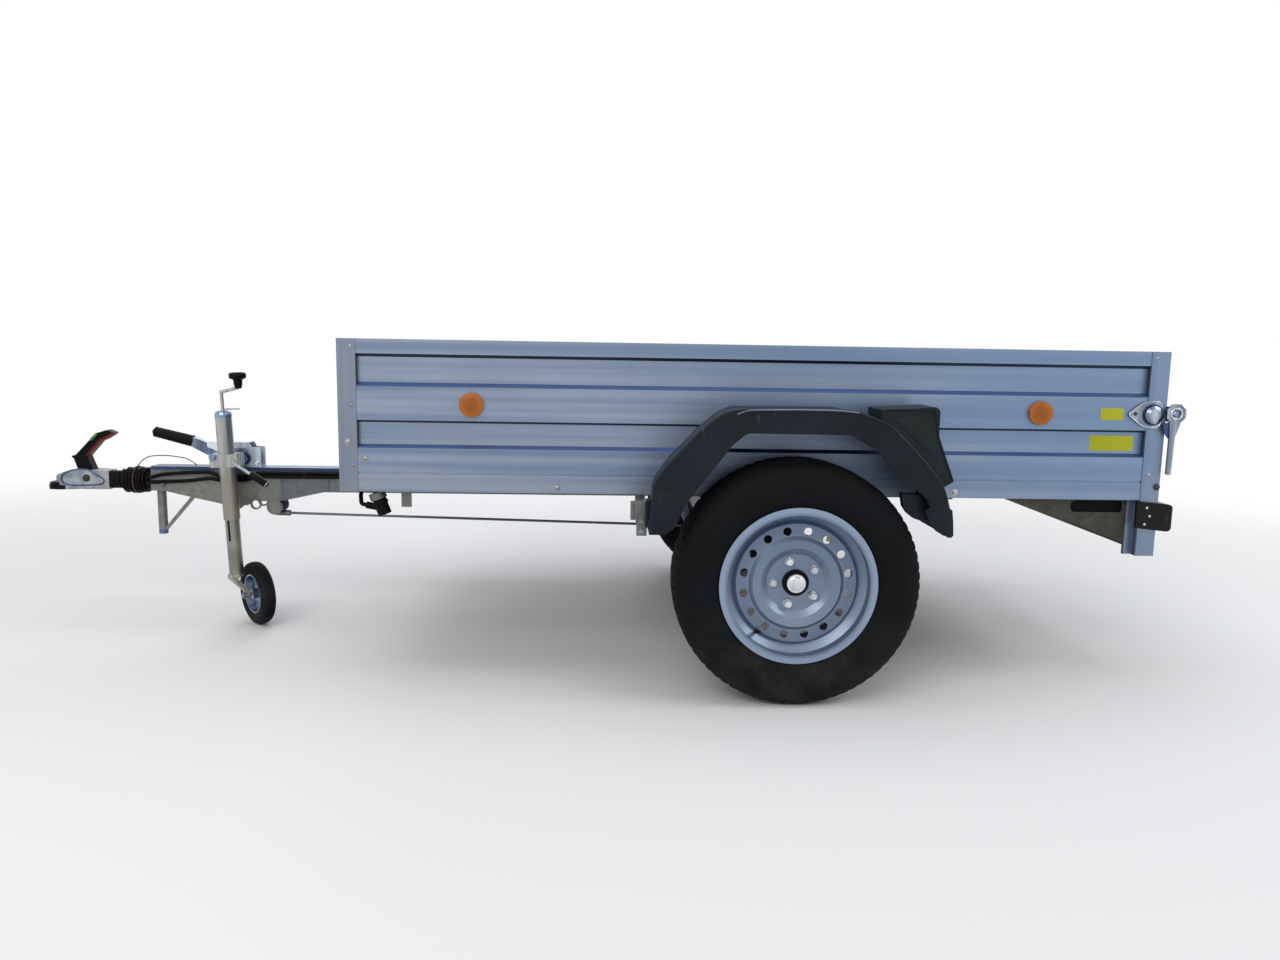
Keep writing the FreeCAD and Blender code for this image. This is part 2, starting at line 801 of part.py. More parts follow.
def coupling_head():
    """Ball coupling: a forged body, slim at the shank and round over the ball, with its socket and nose pad."""
    z = coupling_height
    low = z - coupling_half_height
    top = z + coupling_half_height
    tip = nose_x - pad_reach
    side_view = slab(
        ((coupling_rear, low), (tip - 8, low), (tip, z - 12), (tip, z + 4), (tip - 12, z + 16),
         (nose_x - 60, top - 2), (nose_x - 96, top + 4), (coupling_rear, top)),
        "y", -coupling_half_width, coupling_half_width, (0, 5, 5, 8, 20, 30, 30, 0),
    )
    shank = shank_half_width
    wide = coupling_half_width
    plan = (
        (coupling_rear, -shank), (nose_x - 106, -shank), (nose_x - 76, -wide), (tip, -wide),
        (tip, wide), (nose_x - 76, wide), (nose_x - 106, shank), (coupling_rear, shank),
    )
    body = side_view.common(slab(plan, "z", low, top + 6, (0, 20, 20, 30, 30, 20, 20, 0)))
    pad = slab(
        rectangle((nose_x - pad_length, nose_x), (4 - wide, wide - 4)), "z", low, low + 19, (0, 26, 26, 0),
    )
    centre = ball_centre()
    socket = Part.makeSphere(ball_radius, centre)
    throat = rod(Vector(centre.x, 0, low), centre, ball_radius)
    return joined([body, pad]).cut(socket).cut(throat)


# The coupling handle's outline: distance behind the nose, height above the coupling's middle, rounding
handle_rows = (
    (90, 30, 0), (78, 67, 4), (66, 73, 3), (84, 76, 4), (134, 128, 10), (157, 147, 10),
    (184, 156, 10), (210, 146, 5), (184, 131, 8), (163, 122, 10), (120, 76, 10), (138, 28, 0),
)


def coupling_handle():
    outline = [(nose_x - back, coupling_height + rise) for back, rise, _ in handle_rows]
    handle = slab(outline, "y", -handle_half_width, handle_half_width, [row[2] for row in handle_rows])
    return handle.cut(coupling_head())


def bellows():
    """Rubber bellows between the drawbar and the coupling head, with a plain collar at each end."""
    length = coupling_rear - drawbar_front
    collar = 33
    folds = 3
    valley = bellows_radius - bellows_depth
    pitch = (length - collar - 12) / folds
    profile = [(0, 0), (bellows_radius, 0), (bellows_radius, 12)]
    for fold in range(folds):
        start = 12 + fold * pitch
        profile.append((valley, start + pitch / 2))
        profile.append((bellows_radius, start + pitch))
    profile += [(bellows_radius - 1, length), (0, length)]
    return moved(turned_along(profile), drawbar_front, 0, coupling_height)


def lead_winding():
    """The lead wound round the bellows: one closed ring of the turns' outer shape."""
    inner = bellows_radius + seat_gap
    outer = bellows_radius + 2 * lead_radius
    ring = turned_along(((inner, 0), (outer, 0), (outer, 82), (inner, 82)))
    return moved(ring, drawbar_front + 12, 0, coupling_height)


# The lead beside the drawbar: distance behind the drawbar's front end,
# height of the upper run and of the lower run above the coupling's middle
lead_rows = (
    (-10.8, 8, -4), (36, 22, -1), (112, 29, 2), (186, 31, 12), (216, 17.2, 5.7),
    (292, 17.2, 5.7), (330, 30, 18.5), (560, 31, 19.5),
)
lead_side = plate_side + lead_radius + 1


def beside_drawbar(column):
    return [(drawbar_front - row[0], lead_side, coupling_height + row[column]) for row in lead_rows]


def loom_route():
    """The upper run ends through the drawbar's side wall, below the box."""
    z = coupling_height + lead_rows[-1][1]
    return beside_drawbar(1) + [(box_front - 5, lead_side, z), (box_front - 65, 20, z)]


def plug_lead_route():
    """The lower run turns up behind the front panel, crosses to the left side and ends in the plug."""
    z = coupling_height + lead_rows[-1][2]
    x = box_front - wall - 10
    high = beam_bottom + 11
    return beside_drawbar(2) + [
        (box_front + 40, lead_side, z), (x, lead_side + 2, z), (x, 90, high), (x, 470, high),
        (x, 520, high - 11), (box_front - 41, plug_side, plug_nipple.z + 2.5), tuple(plug_nipple),
    ]


def lead_runs():
    """Two runs of the lead along the drawbar's left side, from the winding back below the box."""
    return together([cord(loom_route(), lead_radius), cord(plug_lead_route(), lead_radius)])


def breakaway_cable():
    """Thin safety cable from the winding up and back to the handbrake's housing."""
    start = drawbar_front + 52
    z = coupling_height
    side = bellows_radius + 2 * lead_radius
    return cord((
        (start, 22, z + side - 4.9), (start - 36, 26, z + 76), (start - 98, 24, z + 81),
        (start - 160, 14, z + 70), (start - 186, 8, z + 48),
    ), 1.5)


# The handbrake's axis: its grip's end, where the grip meets the lever, and the pivot in the housing
grip_end = Vector(1879, 0, 591)
grip_foot = Vector(1766, 0, 563)
pivot_x = 1599
pivot_rise = 29
pivot_radius = 6


def handbrake_housing():
    """Folded housing on the drawbar: two cheeks, a top plate and the upright rear plate."""
    base = beam_bottom
    half = brake_housing_half
    front = brake_housing_front
    outline = (
        (pivot_x - 21, base), (pivot_x - 21, base + 66), (pivot_x - 12, base + 78), (front, base + 78),
        (front, base + 62), (pivot_x + 60, base + 40), (pivot_x + 45, base),
    )
    cheek = slab(outline, "y", half - brake_housing_sheet, half, (0, 8, 4, 4, 6, 10, 0))
    top = block((pivot_x - 12, front - 4), (-half, half), (base + 78 - brake_housing_sheet, base + 78))
    rear_plate = slab(
        rectangle((pivot_x - 48, pivot_x - 16), (base, base + 62)), "y", half - brake_housing_sheet, half, (0, 0, 6, 6),
    )
    floor_plate = block((pivot_x - 48, pivot_x + 45), (-half, half), (base, base + 3))
    housing = joined([cheek, mirrored(cheek), top, rear_plate, mirrored(rear_plate), floor_plate])
    pivot = Vector(pivot_x, -half, base + pivot_rise)
    return housing.cut(rod(pivot, pivot + Vector(0, 2 * half, 0), pivot_radius + running_clearance))


def handbrake_lever():
    """Pressed channel from its pivot in the housing to the grip, open underneath."""
    pivot = Vector(pivot_x, 0, beam_bottom + pivot_rise)
    along = grip_end - grip_foot
    along.normalize()
    across = Vector(-along.z, 0, along.x) * 15
    top = grip_foot + across
    low = grip_foot - across
    outline = (
        (top.x, top.z), (1721, 561), (1704, 551), (pivot_x + 40, beam_bottom + 60), (pivot_x - 8, beam_bottom + 48),
        (pivot_x - 14, pivot.z - 14), (pivot_x + 10, pivot.z - 16), (pivot_x + 60, beam_bottom + 20),
        (1719, 522), (low.x, low.z),
    )
    bar = slab(outline, "y", -lever_half_width, lever_half_width, (0, 20, 20, 20, 10, 10, 10, 30, 20, 0))
    groove = slab(
        ((pivot_x + 30, pivot.z - 40), (pivot_x + 30, pivot.z + 12), (1712, 536), (1764, 553), (1776, 530)),
        "y", 3 - lever_half_width, lever_half_width - 3,
    )
    reach = Vector(0, brake_housing_half, 0)
    shaft = rod(pivot - reach, pivot + reach, pivot_radius)
    return joined([bar.cut(groove), shaft])


def handbrake_grip():
    """Tapered grip, and the round knob of the lever's pivot on the housing's left cheek."""
    grip = cone(grip_foot, grip_end, 17, 15)
    z = beam_bottom + pivot_rise
    knob = rod(Vector(pivot_x, brake_housing_half, z), Vector(pivot_x, brake_housing_half + 16, z), 17)
    return together([grip, knob])


def brake_rod():
    """Pull rod to the axle, with the relay lever and its cross pin between the side plates."""
    front = Vector(drawbar_front - 380, 0, drawbar_bottom - 71)
    rear = Vector(brake_tab_front + seat_gap, 0, brake_rod_rear_height)
    pin_z = drawbar_bottom - relay_lug[1]
    pin_x = drawbar_front - relay_lug[0]
    pin = rod(Vector(pin_x, -drawbar_half, pin_z), Vector(pin_x, drawbar_half, pin_z), 8)
    relay = slab(
        ((front.x - 10, front.z - 8), (front.x + 12, front.z - 8), (pin_x + 14, pin_z - 10),
         (pin_x + 12, pin_z + 12), (pin_x - 12, pin_z + 12), (front.x - 10, front.z + 8)),
        "y", -4, 4, 5,
    )
    sleeve = rod(front, front + (rear - front) * (36 / (rear - front).Length), 9)
    return joined([rod(front, rear, brake_rod_radius), sleeve, relay, pin])


def support_foot():
    """Short prop tube below the drawbar with its flat brace."""
    x = drawbar_front - 17
    foot = rod(Vector(x, 0, drawbar_bottom - 141), Vector(x, 0, drawbar_bottom), 13.5)
    brace = slab(
        ((x - 8, drawbar_bottom - 134), (x - 8, drawbar_bottom - 123), (x - 111, drawbar_bottom),
         (x - 123, drawbar_bottom)),
        "y", -9, 9,
    )
    return joined([foot, brace])


# The plug hangs below the left side beam: its upper and lower end, and where its lead goes in
plug_side = inner_half_width - beam_width / 2 + 2
plug_top = Vector(box_front - 80, plug_side, box_bottom - 7)
plug_foot = Vector(box_front - 102, plug_side, box_bottom - 66)
plug_nipple = Vector(box_front - 54, plug_side, box_bottom - 42)
plug_radius = 17.5


def plug_direction():
    along = plug_foot - plug_top
    along.normalize()
    return along


def plug_holder():
    """Plate below the left side beam with the cup that parks the plug and a tab bent down behind it."""
    along = plug_direction()
    plate = block((box_front - 177, box_front - 62), (plug_side - 13, plug_side + 13), (box_bottom - 3, box_bottom))
    tab = block((box_front - 174, box_front - 148), (plug_side + 11, plug_side + 15), (box_bottom - 44, box_bottom))
    cup = rod(plug_top + along * 2, plug_top + along * 20, plug_radius + 4)
    room = rod(plug_top + along * 8, plug_top + along * 24, plug_radius + seat_gap)
    return joined([plate, tab, cup]).cut(room)


def plug():
    """Round plug hanging in its cup, with its collar and the nipple that its lead enters."""
    along = plug_direction()
    start = plug_top + along * (8 + seat_gap)
    body = rod(start, plug_foot, plug_radius)
    collar = rod(plug_top + along * 26, plug_top + along * 34, plug_radius + 2.5)
    inside = plug_top + along * 46
    reach = plug_nipple - inside
    nipple = rod(inside, inside + reach * ((reach.Length - seat_gap) / reach.Length), 9)
    return joined([body, collar, nipple])


def jockey_clamp():
    """Split block around the outer tube with its foot on the drawbar's side."""
    high = clamp_half_height
    body = slab(
        ((-41, -30), (45, -30), (45, 31), (-20, 31), (-41, 20)), "z", -high, high, (0, 0, 12, 12, 6),
    )
    foot_side = drawbar_half - jockey_side
    foot = block((-8, 38), (foot_side, -28), (-52, high))
    bore = Part.makeCylinder(outer_tube_radius + 0.2, 4 * high, Vector(0, 0, -2 * high))
    slit = block((-45, 0), (-2, 2), (-high, high))
    return joined([body, foot]).cut(bore).cut(slit).cut(jockey_clamp_handle())


def jockey_clamp_handle():
    """Tommy bar of the clamp's screw with its grip."""
    screw = rod(Vector(-32, 26, -4), Vector(-32, 44, -4), 6)
    bar = rod(Vector(-34, 38, -8), Vector(-92, 38, -50), 5)
    grip = rod(Vector(-82, 38, -42), Vector(-127, 38, -75), 10)
    return joined([screw, bar, grip])


def jockey_outer_tube():
    """Outer tube with its domed cap."""
    radius = outer_tube_radius
    top = outer_tube_top
    bore = inner_tube_radius + running_clearance
    return turned_upright((
        (0, top), (12, top), (21, top - 4), (radius, top - 12), (radius, outer_tube_bottom),
        (bore, outer_tube_bottom), (bore, top - 20), (0, top - 20),
    ))


def jockey_crank():
    """Bent crank on top of the outer tube with its mushroom knob and the spring clip."""
    top = outer_tube_top
    bend = top + crank_rise
    knob = turned_upright(((0, 0), (8, 0), (12, 26), (22, 30), (24, 36), (22, 44), (14, 47), (0, 47)))
    return joined([
        rod(Vector(0, 0, top), Vector(0, 0, bend + crank_radius), crank_radius),
        rod(Vector(0, 0, bend), Vector(-crank_throw, 0, bend + 12), crank_radius),
        rod(Vector(0, 0, top + 5), Vector(-50, 0, top + 5), 2.5),
        moved(knob, -crank_throw, 0, bend + 10),
    ])


def inner_tube_bottom():
    """Height of the sliding tube's lower end, so that the wheel below it stands on the ground."""
    return jockey_wheel_low() + jockey_fork_height


def jockey_inner_tube():
    low = inner_tube_bottom()
    outside = Part.makeCylinder(inner_tube_radius, inner_tube_length, Vector(0, 0, low))
    bore = Part.makeCylinder(inner_tube_radius - inner_tube_wall, inner_tube_length, Vector(0, 0, low + 8))
    pin = Part.makeCylinder(jockey_pin_radius, 14, Vector(0, 0, low - 14))
    return outside.cut(bore).fuse(pin).removeSplitter()


def jockey_wheel_low():
    """Height of the wheel's centre in the tube's own frame, so that the leaning tyre meets the ground."""
    lean = math.radians(jockey_lean)
    turn = math.radians(jockey_swivel_rest)
    forward = jockey_trail * math.cos(turn) - jockey_arm_offset * math.sin(turn)
    tilt = math.asin(math.sin(turn) * math.sin(lean))
    drop = max(radius * math.cos(tilt) + abs(side) * math.sin(tilt) for radius, side in jockey_tyre_profile())
    return (drop - jockey_clamp_z + forward * math.sin(lean)) / math.cos(lean)


def jockey_tyre_profile():
    rim = jockey_rim_radius
    radius = jockey_wheel_radius
    half = jockey_tyre_half_width
    return (
        (rim, half - 4), (rim + 9, half), (radius - 12, half - 1), (radius, half - 14),
        (radius, 14 - half), (radius - 12, 1 - half), (rim + 9, -half), (rim, 4 - half),
    )


def jockey_fork():
    """One-sided arm from the swivel to the wheel's axle. X trails behind, Y points to the wheel."""
    top = inner_tube_bottom() - seat_gap
    centre = jockey_wheel_low()
    inner = jockey_arm_offset - jockey_tyre_half_width - jockey_arm_clearance
    outer = inner - jockey_arm_thickness
    near = -inner_tube_radius
    bridge = Part.makeCylinder(inner_tube_radius, 8, Vector(0, 0, top - 8))
    bent = slab(
        ((near, top), (near + 8, top), (inner, centre + 14), (inner, centre - 16), (outer, centre - 16),
         (outer, centre + 8), (near, top - 14)),
        "x", near, jockey_trail + 20, (0, 0, 12, 0, 0, 12, 12),
    )
    side_view = slab(
        ((near + 2, top), (-near - 2, top), (jockey_trail + 15, centre + 6), (jockey_trail + 12, centre - 13),
         (jockey_trail - 12, centre - 15), (near + 2, top - 32)),
        "y", near, inner, (4, 14, 14, 10, 12, 14),
    )
    axle_end = jockey_arm_offset + jockey_tyre_half_width + 3
    axle = rod(
        Vector(jockey_trail, outer - 6, centre), Vector(jockey_trail, axle_end, centre), jockey_axle_radius,
    )
    head = rod(Vector(jockey_trail, outer - 6, centre), Vector(jockey_trail, outer, centre), 10)
    bore = Part.makeCylinder(jockey_pin_radius + running_clearance, 16, Vector(0, 0, top - 14))
    return joined([bridge, bent.common(side_view), axle, head]).cut(bore)


def jockey_tyre():
    return turned(jockey_tyre_profile())


def jockey_rim():
    """Pressed steel rim with its hub tube."""
    rim = jockey_rim_radius
    half = jockey_tyre_half_width - 4
    bore = jockey_axle_radius + running_clearance
    profile = (
        (bore, half), (16, half), (18, 5), (rim - 10, 5), (rim - 4, half), (rim, half),
        (rim, -half), (rim - 4, -half), (rim - 10, 1), (16, 1), (16, -half), (bore, -half),
    )
    return turned(profile)


def place_on_jockey(shape):
    """From the tube's own frame to the trailer: lean about the clamp, then move to it."""
    placed = shape.copy()
    placed.rotate(Vector(0, 0, 0), Vector(0, 1, 0), jockey_lean)
    placed.translate(Vector(jockey_clamp_x, jockey_side, jockey_clamp_z))
    return placed


def place_on_fork(shape):
    """From the fork's frame, where the wheel trails along +X, to the trailer at its parked swivel."""
    turned_shape = shape.copy()
    turned_shape.rotate(Vector(0, 0, 0), Vector(0, 0, 1), jockey_swivel_rest)
    return place_on_jockey(turned_shape)


def place_jockey_wheel(shape):
    return place_on_fork(moved(shape, jockey_trail, jockey_arm_offset, jockey_wheel_low()))


def on_wheel(shape):
    return moved(shape, 0, wheel_plane, tyre_radius)


def pieces():
    """All nodes by name, in trailer coordinates counted from the wheel axis."""
    nodes = {
        "floor_board": floor_board(),
        "front_panel": front_panel(),
        "drawbar": drawbar(),
        "drawbar_side_plates": side_plates(),
        "axle_beam": axle_beam(),
        "light_carrier": light_carrier(),
        "reflectors": reflectors(),
        "hinge_carriers": hinge_carriers(),
        "gate_panel": gate_panel(),
        "gate_hinges": gate_hinges(),
        "coupling_head": coupling_head(),
        "coupling_handle": coupling_handle(),
        "coupling_bellows": bellows(),
        "lead_winding": lead_winding(),
        "lead_runs": lead_runs(),
        "breakaway_cable": breakaway_cable(),
        "handbrake_housing": handbrake_housing(),
        "handbrake_lever": handbrake_lever(),
        "handbrake_grip": handbrake_grip(),
        "brake_rod": brake_rod(),
        "support_foot": support_foot(),
        "plug_holder": plug_holder(),
        "plug": plug(),
        "jockey_clamp": place_on_jockey(jockey_clamp()),
        "jockey_clamp_handle": place_on_jockey(jockey_clamp_handle()),
        "jockey_outer_tube": place_on_jockey(jockey_outer_tube()),
        "jockey_crank": place_on_jockey(jockey_crank()),
        "jockey_inner_tube": place_on_jockey(jockey_inner_tube()),
        "jockey_fork": place_on_fork(jockey_fork()),
        "jockey_tyre": place_jockey_wheel(jockey_tyre()),
        "jockey_rim": place_jockey_wheel(jockey_rim()),
        "cross_beams": together([cross_beam(place) for place in cross_beam_places()]),
        "side_beams": both_sides(side_beam()),
        "mudguard_stays": both_sides(guard_stay()),
        "latch_keepers": both_sides(latch_keeper()),
        "gate_latches": both_sides(gate_latch()),
    }
    pairs = {
        "side_panel": side_panel(),
        "front_post": front_post(),
        "rear_post": rear_post(),
        "mudguard": mudguard(),
        "wheel_chock": chock(),
        "axle_arm": axle_arm(),
        "wheel_tyre": on_wheel(wheel_tyre()),
        "wheel_rim": on_wheel(wheel_rim()),
        "wheel_drum": on_wheel(wheel_drum()),
        "tail_lamp": tail_lamp(),
    }
    for name, shape in pairs.items():
        nodes[f"{name}_left"] = shape
        nodes[f"{name}_right"] = mirrored(shape)
    return nodes


os.makedirs("parts", exist_ok=True)
for name, shape in pieces().items():
    moved(shape, -origin_shift).exportStep(f"parts/{name}.step")
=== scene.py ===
# %% [markdown]
# # A box trailer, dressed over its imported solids
# The solids of the trailer come in as a fixed frame, with every piece already at its real size and place.
# This script never moves them. It gives each one a finish, and it adds what is too small for the solids:
# tyre tread, wheel bolts, rivets, screws, lens patterns, the wound lead and the blank labels.
# The frame is in metres, and what the script draws itself is in millimetres until it is placed.
# +X points to the coupling, +Y to the trailer's left side and +Z up.

# %% Load the frame
import math

import bmesh
import bpy
from mathutils import Matrix, Vector


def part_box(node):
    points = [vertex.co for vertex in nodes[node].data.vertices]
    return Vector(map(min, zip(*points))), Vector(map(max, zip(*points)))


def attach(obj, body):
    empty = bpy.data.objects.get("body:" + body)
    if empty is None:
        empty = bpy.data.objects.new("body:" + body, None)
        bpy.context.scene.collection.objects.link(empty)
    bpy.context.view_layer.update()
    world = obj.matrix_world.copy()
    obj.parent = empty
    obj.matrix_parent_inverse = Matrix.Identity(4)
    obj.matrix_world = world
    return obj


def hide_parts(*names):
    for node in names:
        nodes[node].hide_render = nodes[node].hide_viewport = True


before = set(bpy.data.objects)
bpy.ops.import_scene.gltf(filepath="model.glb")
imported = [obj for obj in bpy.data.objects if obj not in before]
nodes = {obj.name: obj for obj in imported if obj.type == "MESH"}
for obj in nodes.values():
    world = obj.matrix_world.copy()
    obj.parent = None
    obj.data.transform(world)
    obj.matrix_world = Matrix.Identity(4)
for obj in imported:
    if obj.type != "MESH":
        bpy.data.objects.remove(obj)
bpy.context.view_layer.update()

# %% [markdown]
# The camera stands as high as the rim of the load box, and looks almost square at the left side and a
# little down. Its place, its three small angles and its lens were fitted to points of the trailer that the
# picture shows. A camera in Blender looks down its own -Z. Read from the left, its matrix puts it in its
# place, turns it about Z to face the side, lifts its view to near the horizon about X, and rolls it.

# %% Camera
CAMERA_PLACE = (-0.1136, 3.0415, 0.8836)
CAMERA_TURN = math.pi - 0.0359
CAMERA_PITCH = -0.1394
CAMERA_ROLL = 0.0168
IMAGE_WIDTH = 1280
FOCAL_PIXELS = 961
SENSOR_WIDTH = 36

camera_data = bpy.data.cameras.new("side_camera")
camera_data.sensor_width = SENSOR_WIDTH
camera_data.lens = FOCAL_PIXELS / IMAGE_WIDTH * SENSOR_WIDTH
camera = bpy.data.objects.new("side_camera", camera_data)
bpy.context.scene.collection.objects.link(camera)
camera.matrix_world = (
    Matrix.Translation(CAMERA_PLACE)
    @ Matrix.Rotation(CAMERA_TURN, 4, "Z")
    @ Matrix.Rotation(math.pi / 2 + CAMERA_PITCH, 4, "X")
    @ Matrix.Rotation(CAMERA_ROLL, 4, "Z")
)
bpy.context.scene.camera = camera
print("lens", round(camera_data.lens, 2), "mm")

# %% [markdown]
# Sizes of the frame are read from it, so that a bolt or a rivet lands on its piece even when the solids
# change. From here on, places are worked out from the boxes and from a few named sizes.

# %% Places read from the frame
MM = 0.001
SIDES = (("left", 1), ("right", -1))

tyre_low, tyre_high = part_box("wheel_tyre_left")
ORIGIN = Vector(((tyre_low[0] + tyre_high[0]) / 2, 0, 0))


def span(node):
    """Lowest and highest corner of a node in the drawing's millimetres: X from the wheels' axis, Y to the left."""
    low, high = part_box(node)
    return (Vector(low) - ORIGIN) / MM, (Vector(high) - ORIGIN) / MM


def at(x, y, z):
    """A place in metres from the drawing's millimetres."""
    return ORIGIN + Vector((x, y, z)) * MM


tyre_low, tyre_high = span("wheel_tyre_left")
AXLE = (tyre_low + tyre_high) / 2
TYRE_RADIUS = (tyre_high.z - tyre_low.z) / 2
TYRE_HALF = (tyre_high.y - tyre_low.y) / 2
post_low, post_high = span("rear_post_left")
front_post_low, front_post_high = span("front_post_left")
PANEL_FACE = span("side_panel_left")[1].y
BOX_TOP = span("side_panel_left")[1].z
POST_FACE = post_high.y
BOX_REAR = post_low.x
print("wheel axis", tuple(round(v, 1) for v in AXLE), "panel face", round(PANEL_FACE, 1), "mm")

# %% [markdown]
# Materials here are built from nodes, and a few small helpers keep that short: one adds any node with its
# settings and inputs, one makes a node group with named sockets, the others add a Math, Map Range, Mix,
# Mapping or Noise node and give back its output.

# %% Helpers for node groups
def add_node(tree, kind, inputs=None, **settings):
    """A shader node. Each of its inputs is a socket to link or a plain value to type in."""
    node = tree.nodes.new("ShaderNode" + kind)
    for name, value in settings.items():
        setattr(node, name, value)
    for name, value in (inputs or {}).items():
        if isinstance(value, bpy.types.NodeSocket):
            tree.links.new(value, node.inputs[name])
        else:
            node.inputs[name].default_value = value
    return node


def new_group(name, inputs, outputs, build):
    """A node group. build(group, given) makes its nodes and gives its numbers, in the order of outputs."""
    group = bpy.data.node_groups.new(name, "ShaderNodeTree")
    for socket_name, value in inputs.items():
        kind = "NodeSocketVector" if isinstance(value, tuple) else "NodeSocketFloat"
        group.interface.new_socket(socket_name, in_out="INPUT", socket_type=kind).default_value = value
    for socket_name in outputs:
        group.interface.new_socket(socket_name, in_out="OUTPUT", socket_type="NodeSocketFloat")
    results = build(group, group.nodes.new("NodeGroupInput").outputs)
    for result, socket in zip(results, group.nodes.new("NodeGroupOutput").inputs):
        group.links.new(result, socket)
    return group


def math_node(tree, operation, first, second=None, clamp=False):
    """The result of a Math node. Each operand is a socket or a number."""
    inputs = {0: first} if second is None else {0: first, 1: second}
    return add_node(tree, "Math", inputs, operation=operation, use_clamp=clamp).outputs[0]


def times(tree, product, *factors):
    for factor in factors:
        product = math_node(tree, "MULTIPLY", product, factor)
    return product


def ramp_mask(tree, value, low, high, **ends):
    """A smooth 0 to 1 mask as value goes from low to high. ends may name other values than 0 and 1."""
    inputs = {"Value": value, "From Min": low, "From Max": high}
    inputs.update({name.replace("_", " "): number for name, number in ends.items()})
    return add_node(tree, "MapRange", inputs, interpolation_type="SMOOTHSTEP").outputs["Result"]


def mix_colours(tree, mask, first, second):
    """Mixes two colours, each a socket or four numbers."""
    return add_node(tree, "Mix", {0: mask, 6: first, 7: second}, data_type="RGBA").outputs[2]


def object_place(tree):
    return add_node(tree, "TexCoord").outputs["Object"]


def object_axes(tree):
    """Object coordinates by axis: X, Y and Z."""
    return add_node(tree, "SeparateXYZ", {"Vector": object_place(tree)}).outputs


def upward(tree):
    """How far a face looks up: 1 for level on top, -1 for level below."""
    normal = add_node(tree, "NewGeometry").outputs["Normal"]
    return add_node(tree, "SeparateXYZ", {"Vector": normal}).outputs["Z"]


def scaled_place(tree, scale):
    """Object coordinates stretched by a scale per axis, a socket or three numbers."""
    return add_node(tree, "Mapping", {"Vector": object_place(tree), "Scale": scale}).outputs["Vector"]


def noise(tree, vector, scale, detail=3.0, roughness=0.5):
    inputs = {"Vector": vector, "Scale": scale, "Detail": detail, "Roughness": roughness}
    return add_node(tree, "TexNoise", inputs).outputs["Fac"]

# %% [markdown]
# The room is a pale floor under a pale sky. White for the camera comes from Light Path: rays that the
# camera sends straight into the sky see plain white, and so do mirror and glass rays, so that metal shows
# the same room. The light that falls on the object comes from the sky's own soft grey and from large
# area lamps. The floor holds the shadow near the trailer and fades to the same white further out, so that no
# horizon shows.

# %% Room and light
scene = bpy.context.scene
scene.view_settings.view_transform = "Standard"

SKY_STRENGTH = 0.56
SKY_SEEN = 1.0
FLOOR_COLOUR = (0.78, 0.78, 0.78, 1)
FLOOR_FADE = (1.8, 5.0)
# Each lamp: name, place, where it aims, width and height in metres, watts, colour
LAMPS = (
    ("left_window", (1.6, 4.4, 3.4), (0, 0.4, 0.4), (4.0, 2.4), 100, (1.0, 0.99, 0.97)),
    ("rear_window", (-4.2, 1.8, 2.8), (-0.6, 0, 0.5), (2.6, 2.0), 50, (0.95, 0.97, 1.0)),
    ("right_window", (0.6, -4.6, 3.2), (0, 0, 0.5), (4.2, 2.4), 75, (0.97, 0.98, 1.0)),
    ("ceiling", (0, 0.2, 4.6), (0, 0, 0), (4.5, 3.5), 60, (1.0, 1.0, 1.0)),
)
FLOOR_REACH = 40


def seen_rays(tree):
    """1 for rays that the camera sends, straight, by way of a mirror or through glass."""
    path = add_node(tree, "LightPath").outputs
    seen = math_node(tree, "MAXIMUM", path["Is Camera Ray"], path["Is Glossy Ray"])
    return math_node(tree, "MAXIMUM", seen, path["Is Transmission Ray"])


def sky_world():
    world = bpy.data.worlds.new("pale_sky")
    scene.world = world
    world.use_nodes = True
    tree = world.node_tree
    tree.nodes.clear()
    lit = add_node(tree, "Background", {"Color": (0.93, 0.96, 1.0, 1), "Strength": SKY_STRENGTH})
    seen = add_node(tree, "Background", {"Color": (1, 1, 1, 1), "Strength": SKY_SEEN})
    mix = add_node(tree, "MixShader", {"Fac": seen_rays(tree), 1: lit.outputs[0], 2: seen.outputs[0]})
    add_node(tree, "OutputWorld", {"Surface": mix.outputs[0]})


def area_lamp(name, place, aim, size, watts, colour):
    data = bpy.data.lights.new(name, "AREA")
    data.shape = "RECTANGLE"
    data.size, data.size_y = size
    data.energy = watts
    data.color = colour
    lamp = bpy.data.objects.new(name, data)
    scene.collection.objects.link(lamp)
    lamp.location = place
    lamp.rotation_euler = (Vector(aim) - Vector(place)).to_track_quat("-Z", "Y").to_euler()


def pale_floor():
    mesh = bpy.data.meshes.new("pale_floor")
    corners = [(FLOOR_REACH * x, FLOOR_REACH * y, 0) for x, y in ((-1, -1), (1, -1), (1, 1), (-1, 1))]
    mesh.from_pydata(corners, [], [(0, 1, 2, 3)])
    floor = bpy.data.objects.new("pale_floor", mesh)
    scene.collection.objects.link(floor)
    material = bpy.data.materials.new("pale_floor")
    material.use_nodes = True
    tree = material.node_tree
    shader = tree.nodes["Principled BSDF"]
    shader.inputs["Base Color"].default_value = FLOOR_COLOUR
    shader.inputs["Roughness"].default_value = 0.9
    shader.inputs["Specular IOR Level"].default_value = 0.2
    white = add_node(tree, "Emission", {"Color": (1, 1, 1, 1)})
    distance = add_node(tree, "VectorMath", {0: object_place(tree)}, operation="LENGTH").outputs["Value"]
    far = times(tree, seen_rays(tree), ramp_mask(tree, distance, *FLOOR_FADE))
    fade = add_node(tree, "MixShader", {"Fac": far, 1: shader.outputs[0], 2: white.outputs[0]})
    tree.links.new(fade.outputs[0], tree.nodes["Material Output"].inputs["Surface"])
    mesh.materials.append(material)


sky_world()
for lamp_row in LAMPS:
    area_lamp(*lamp_row)
pale_floor()
print("lamps:", [row[0] for row in LAMPS])

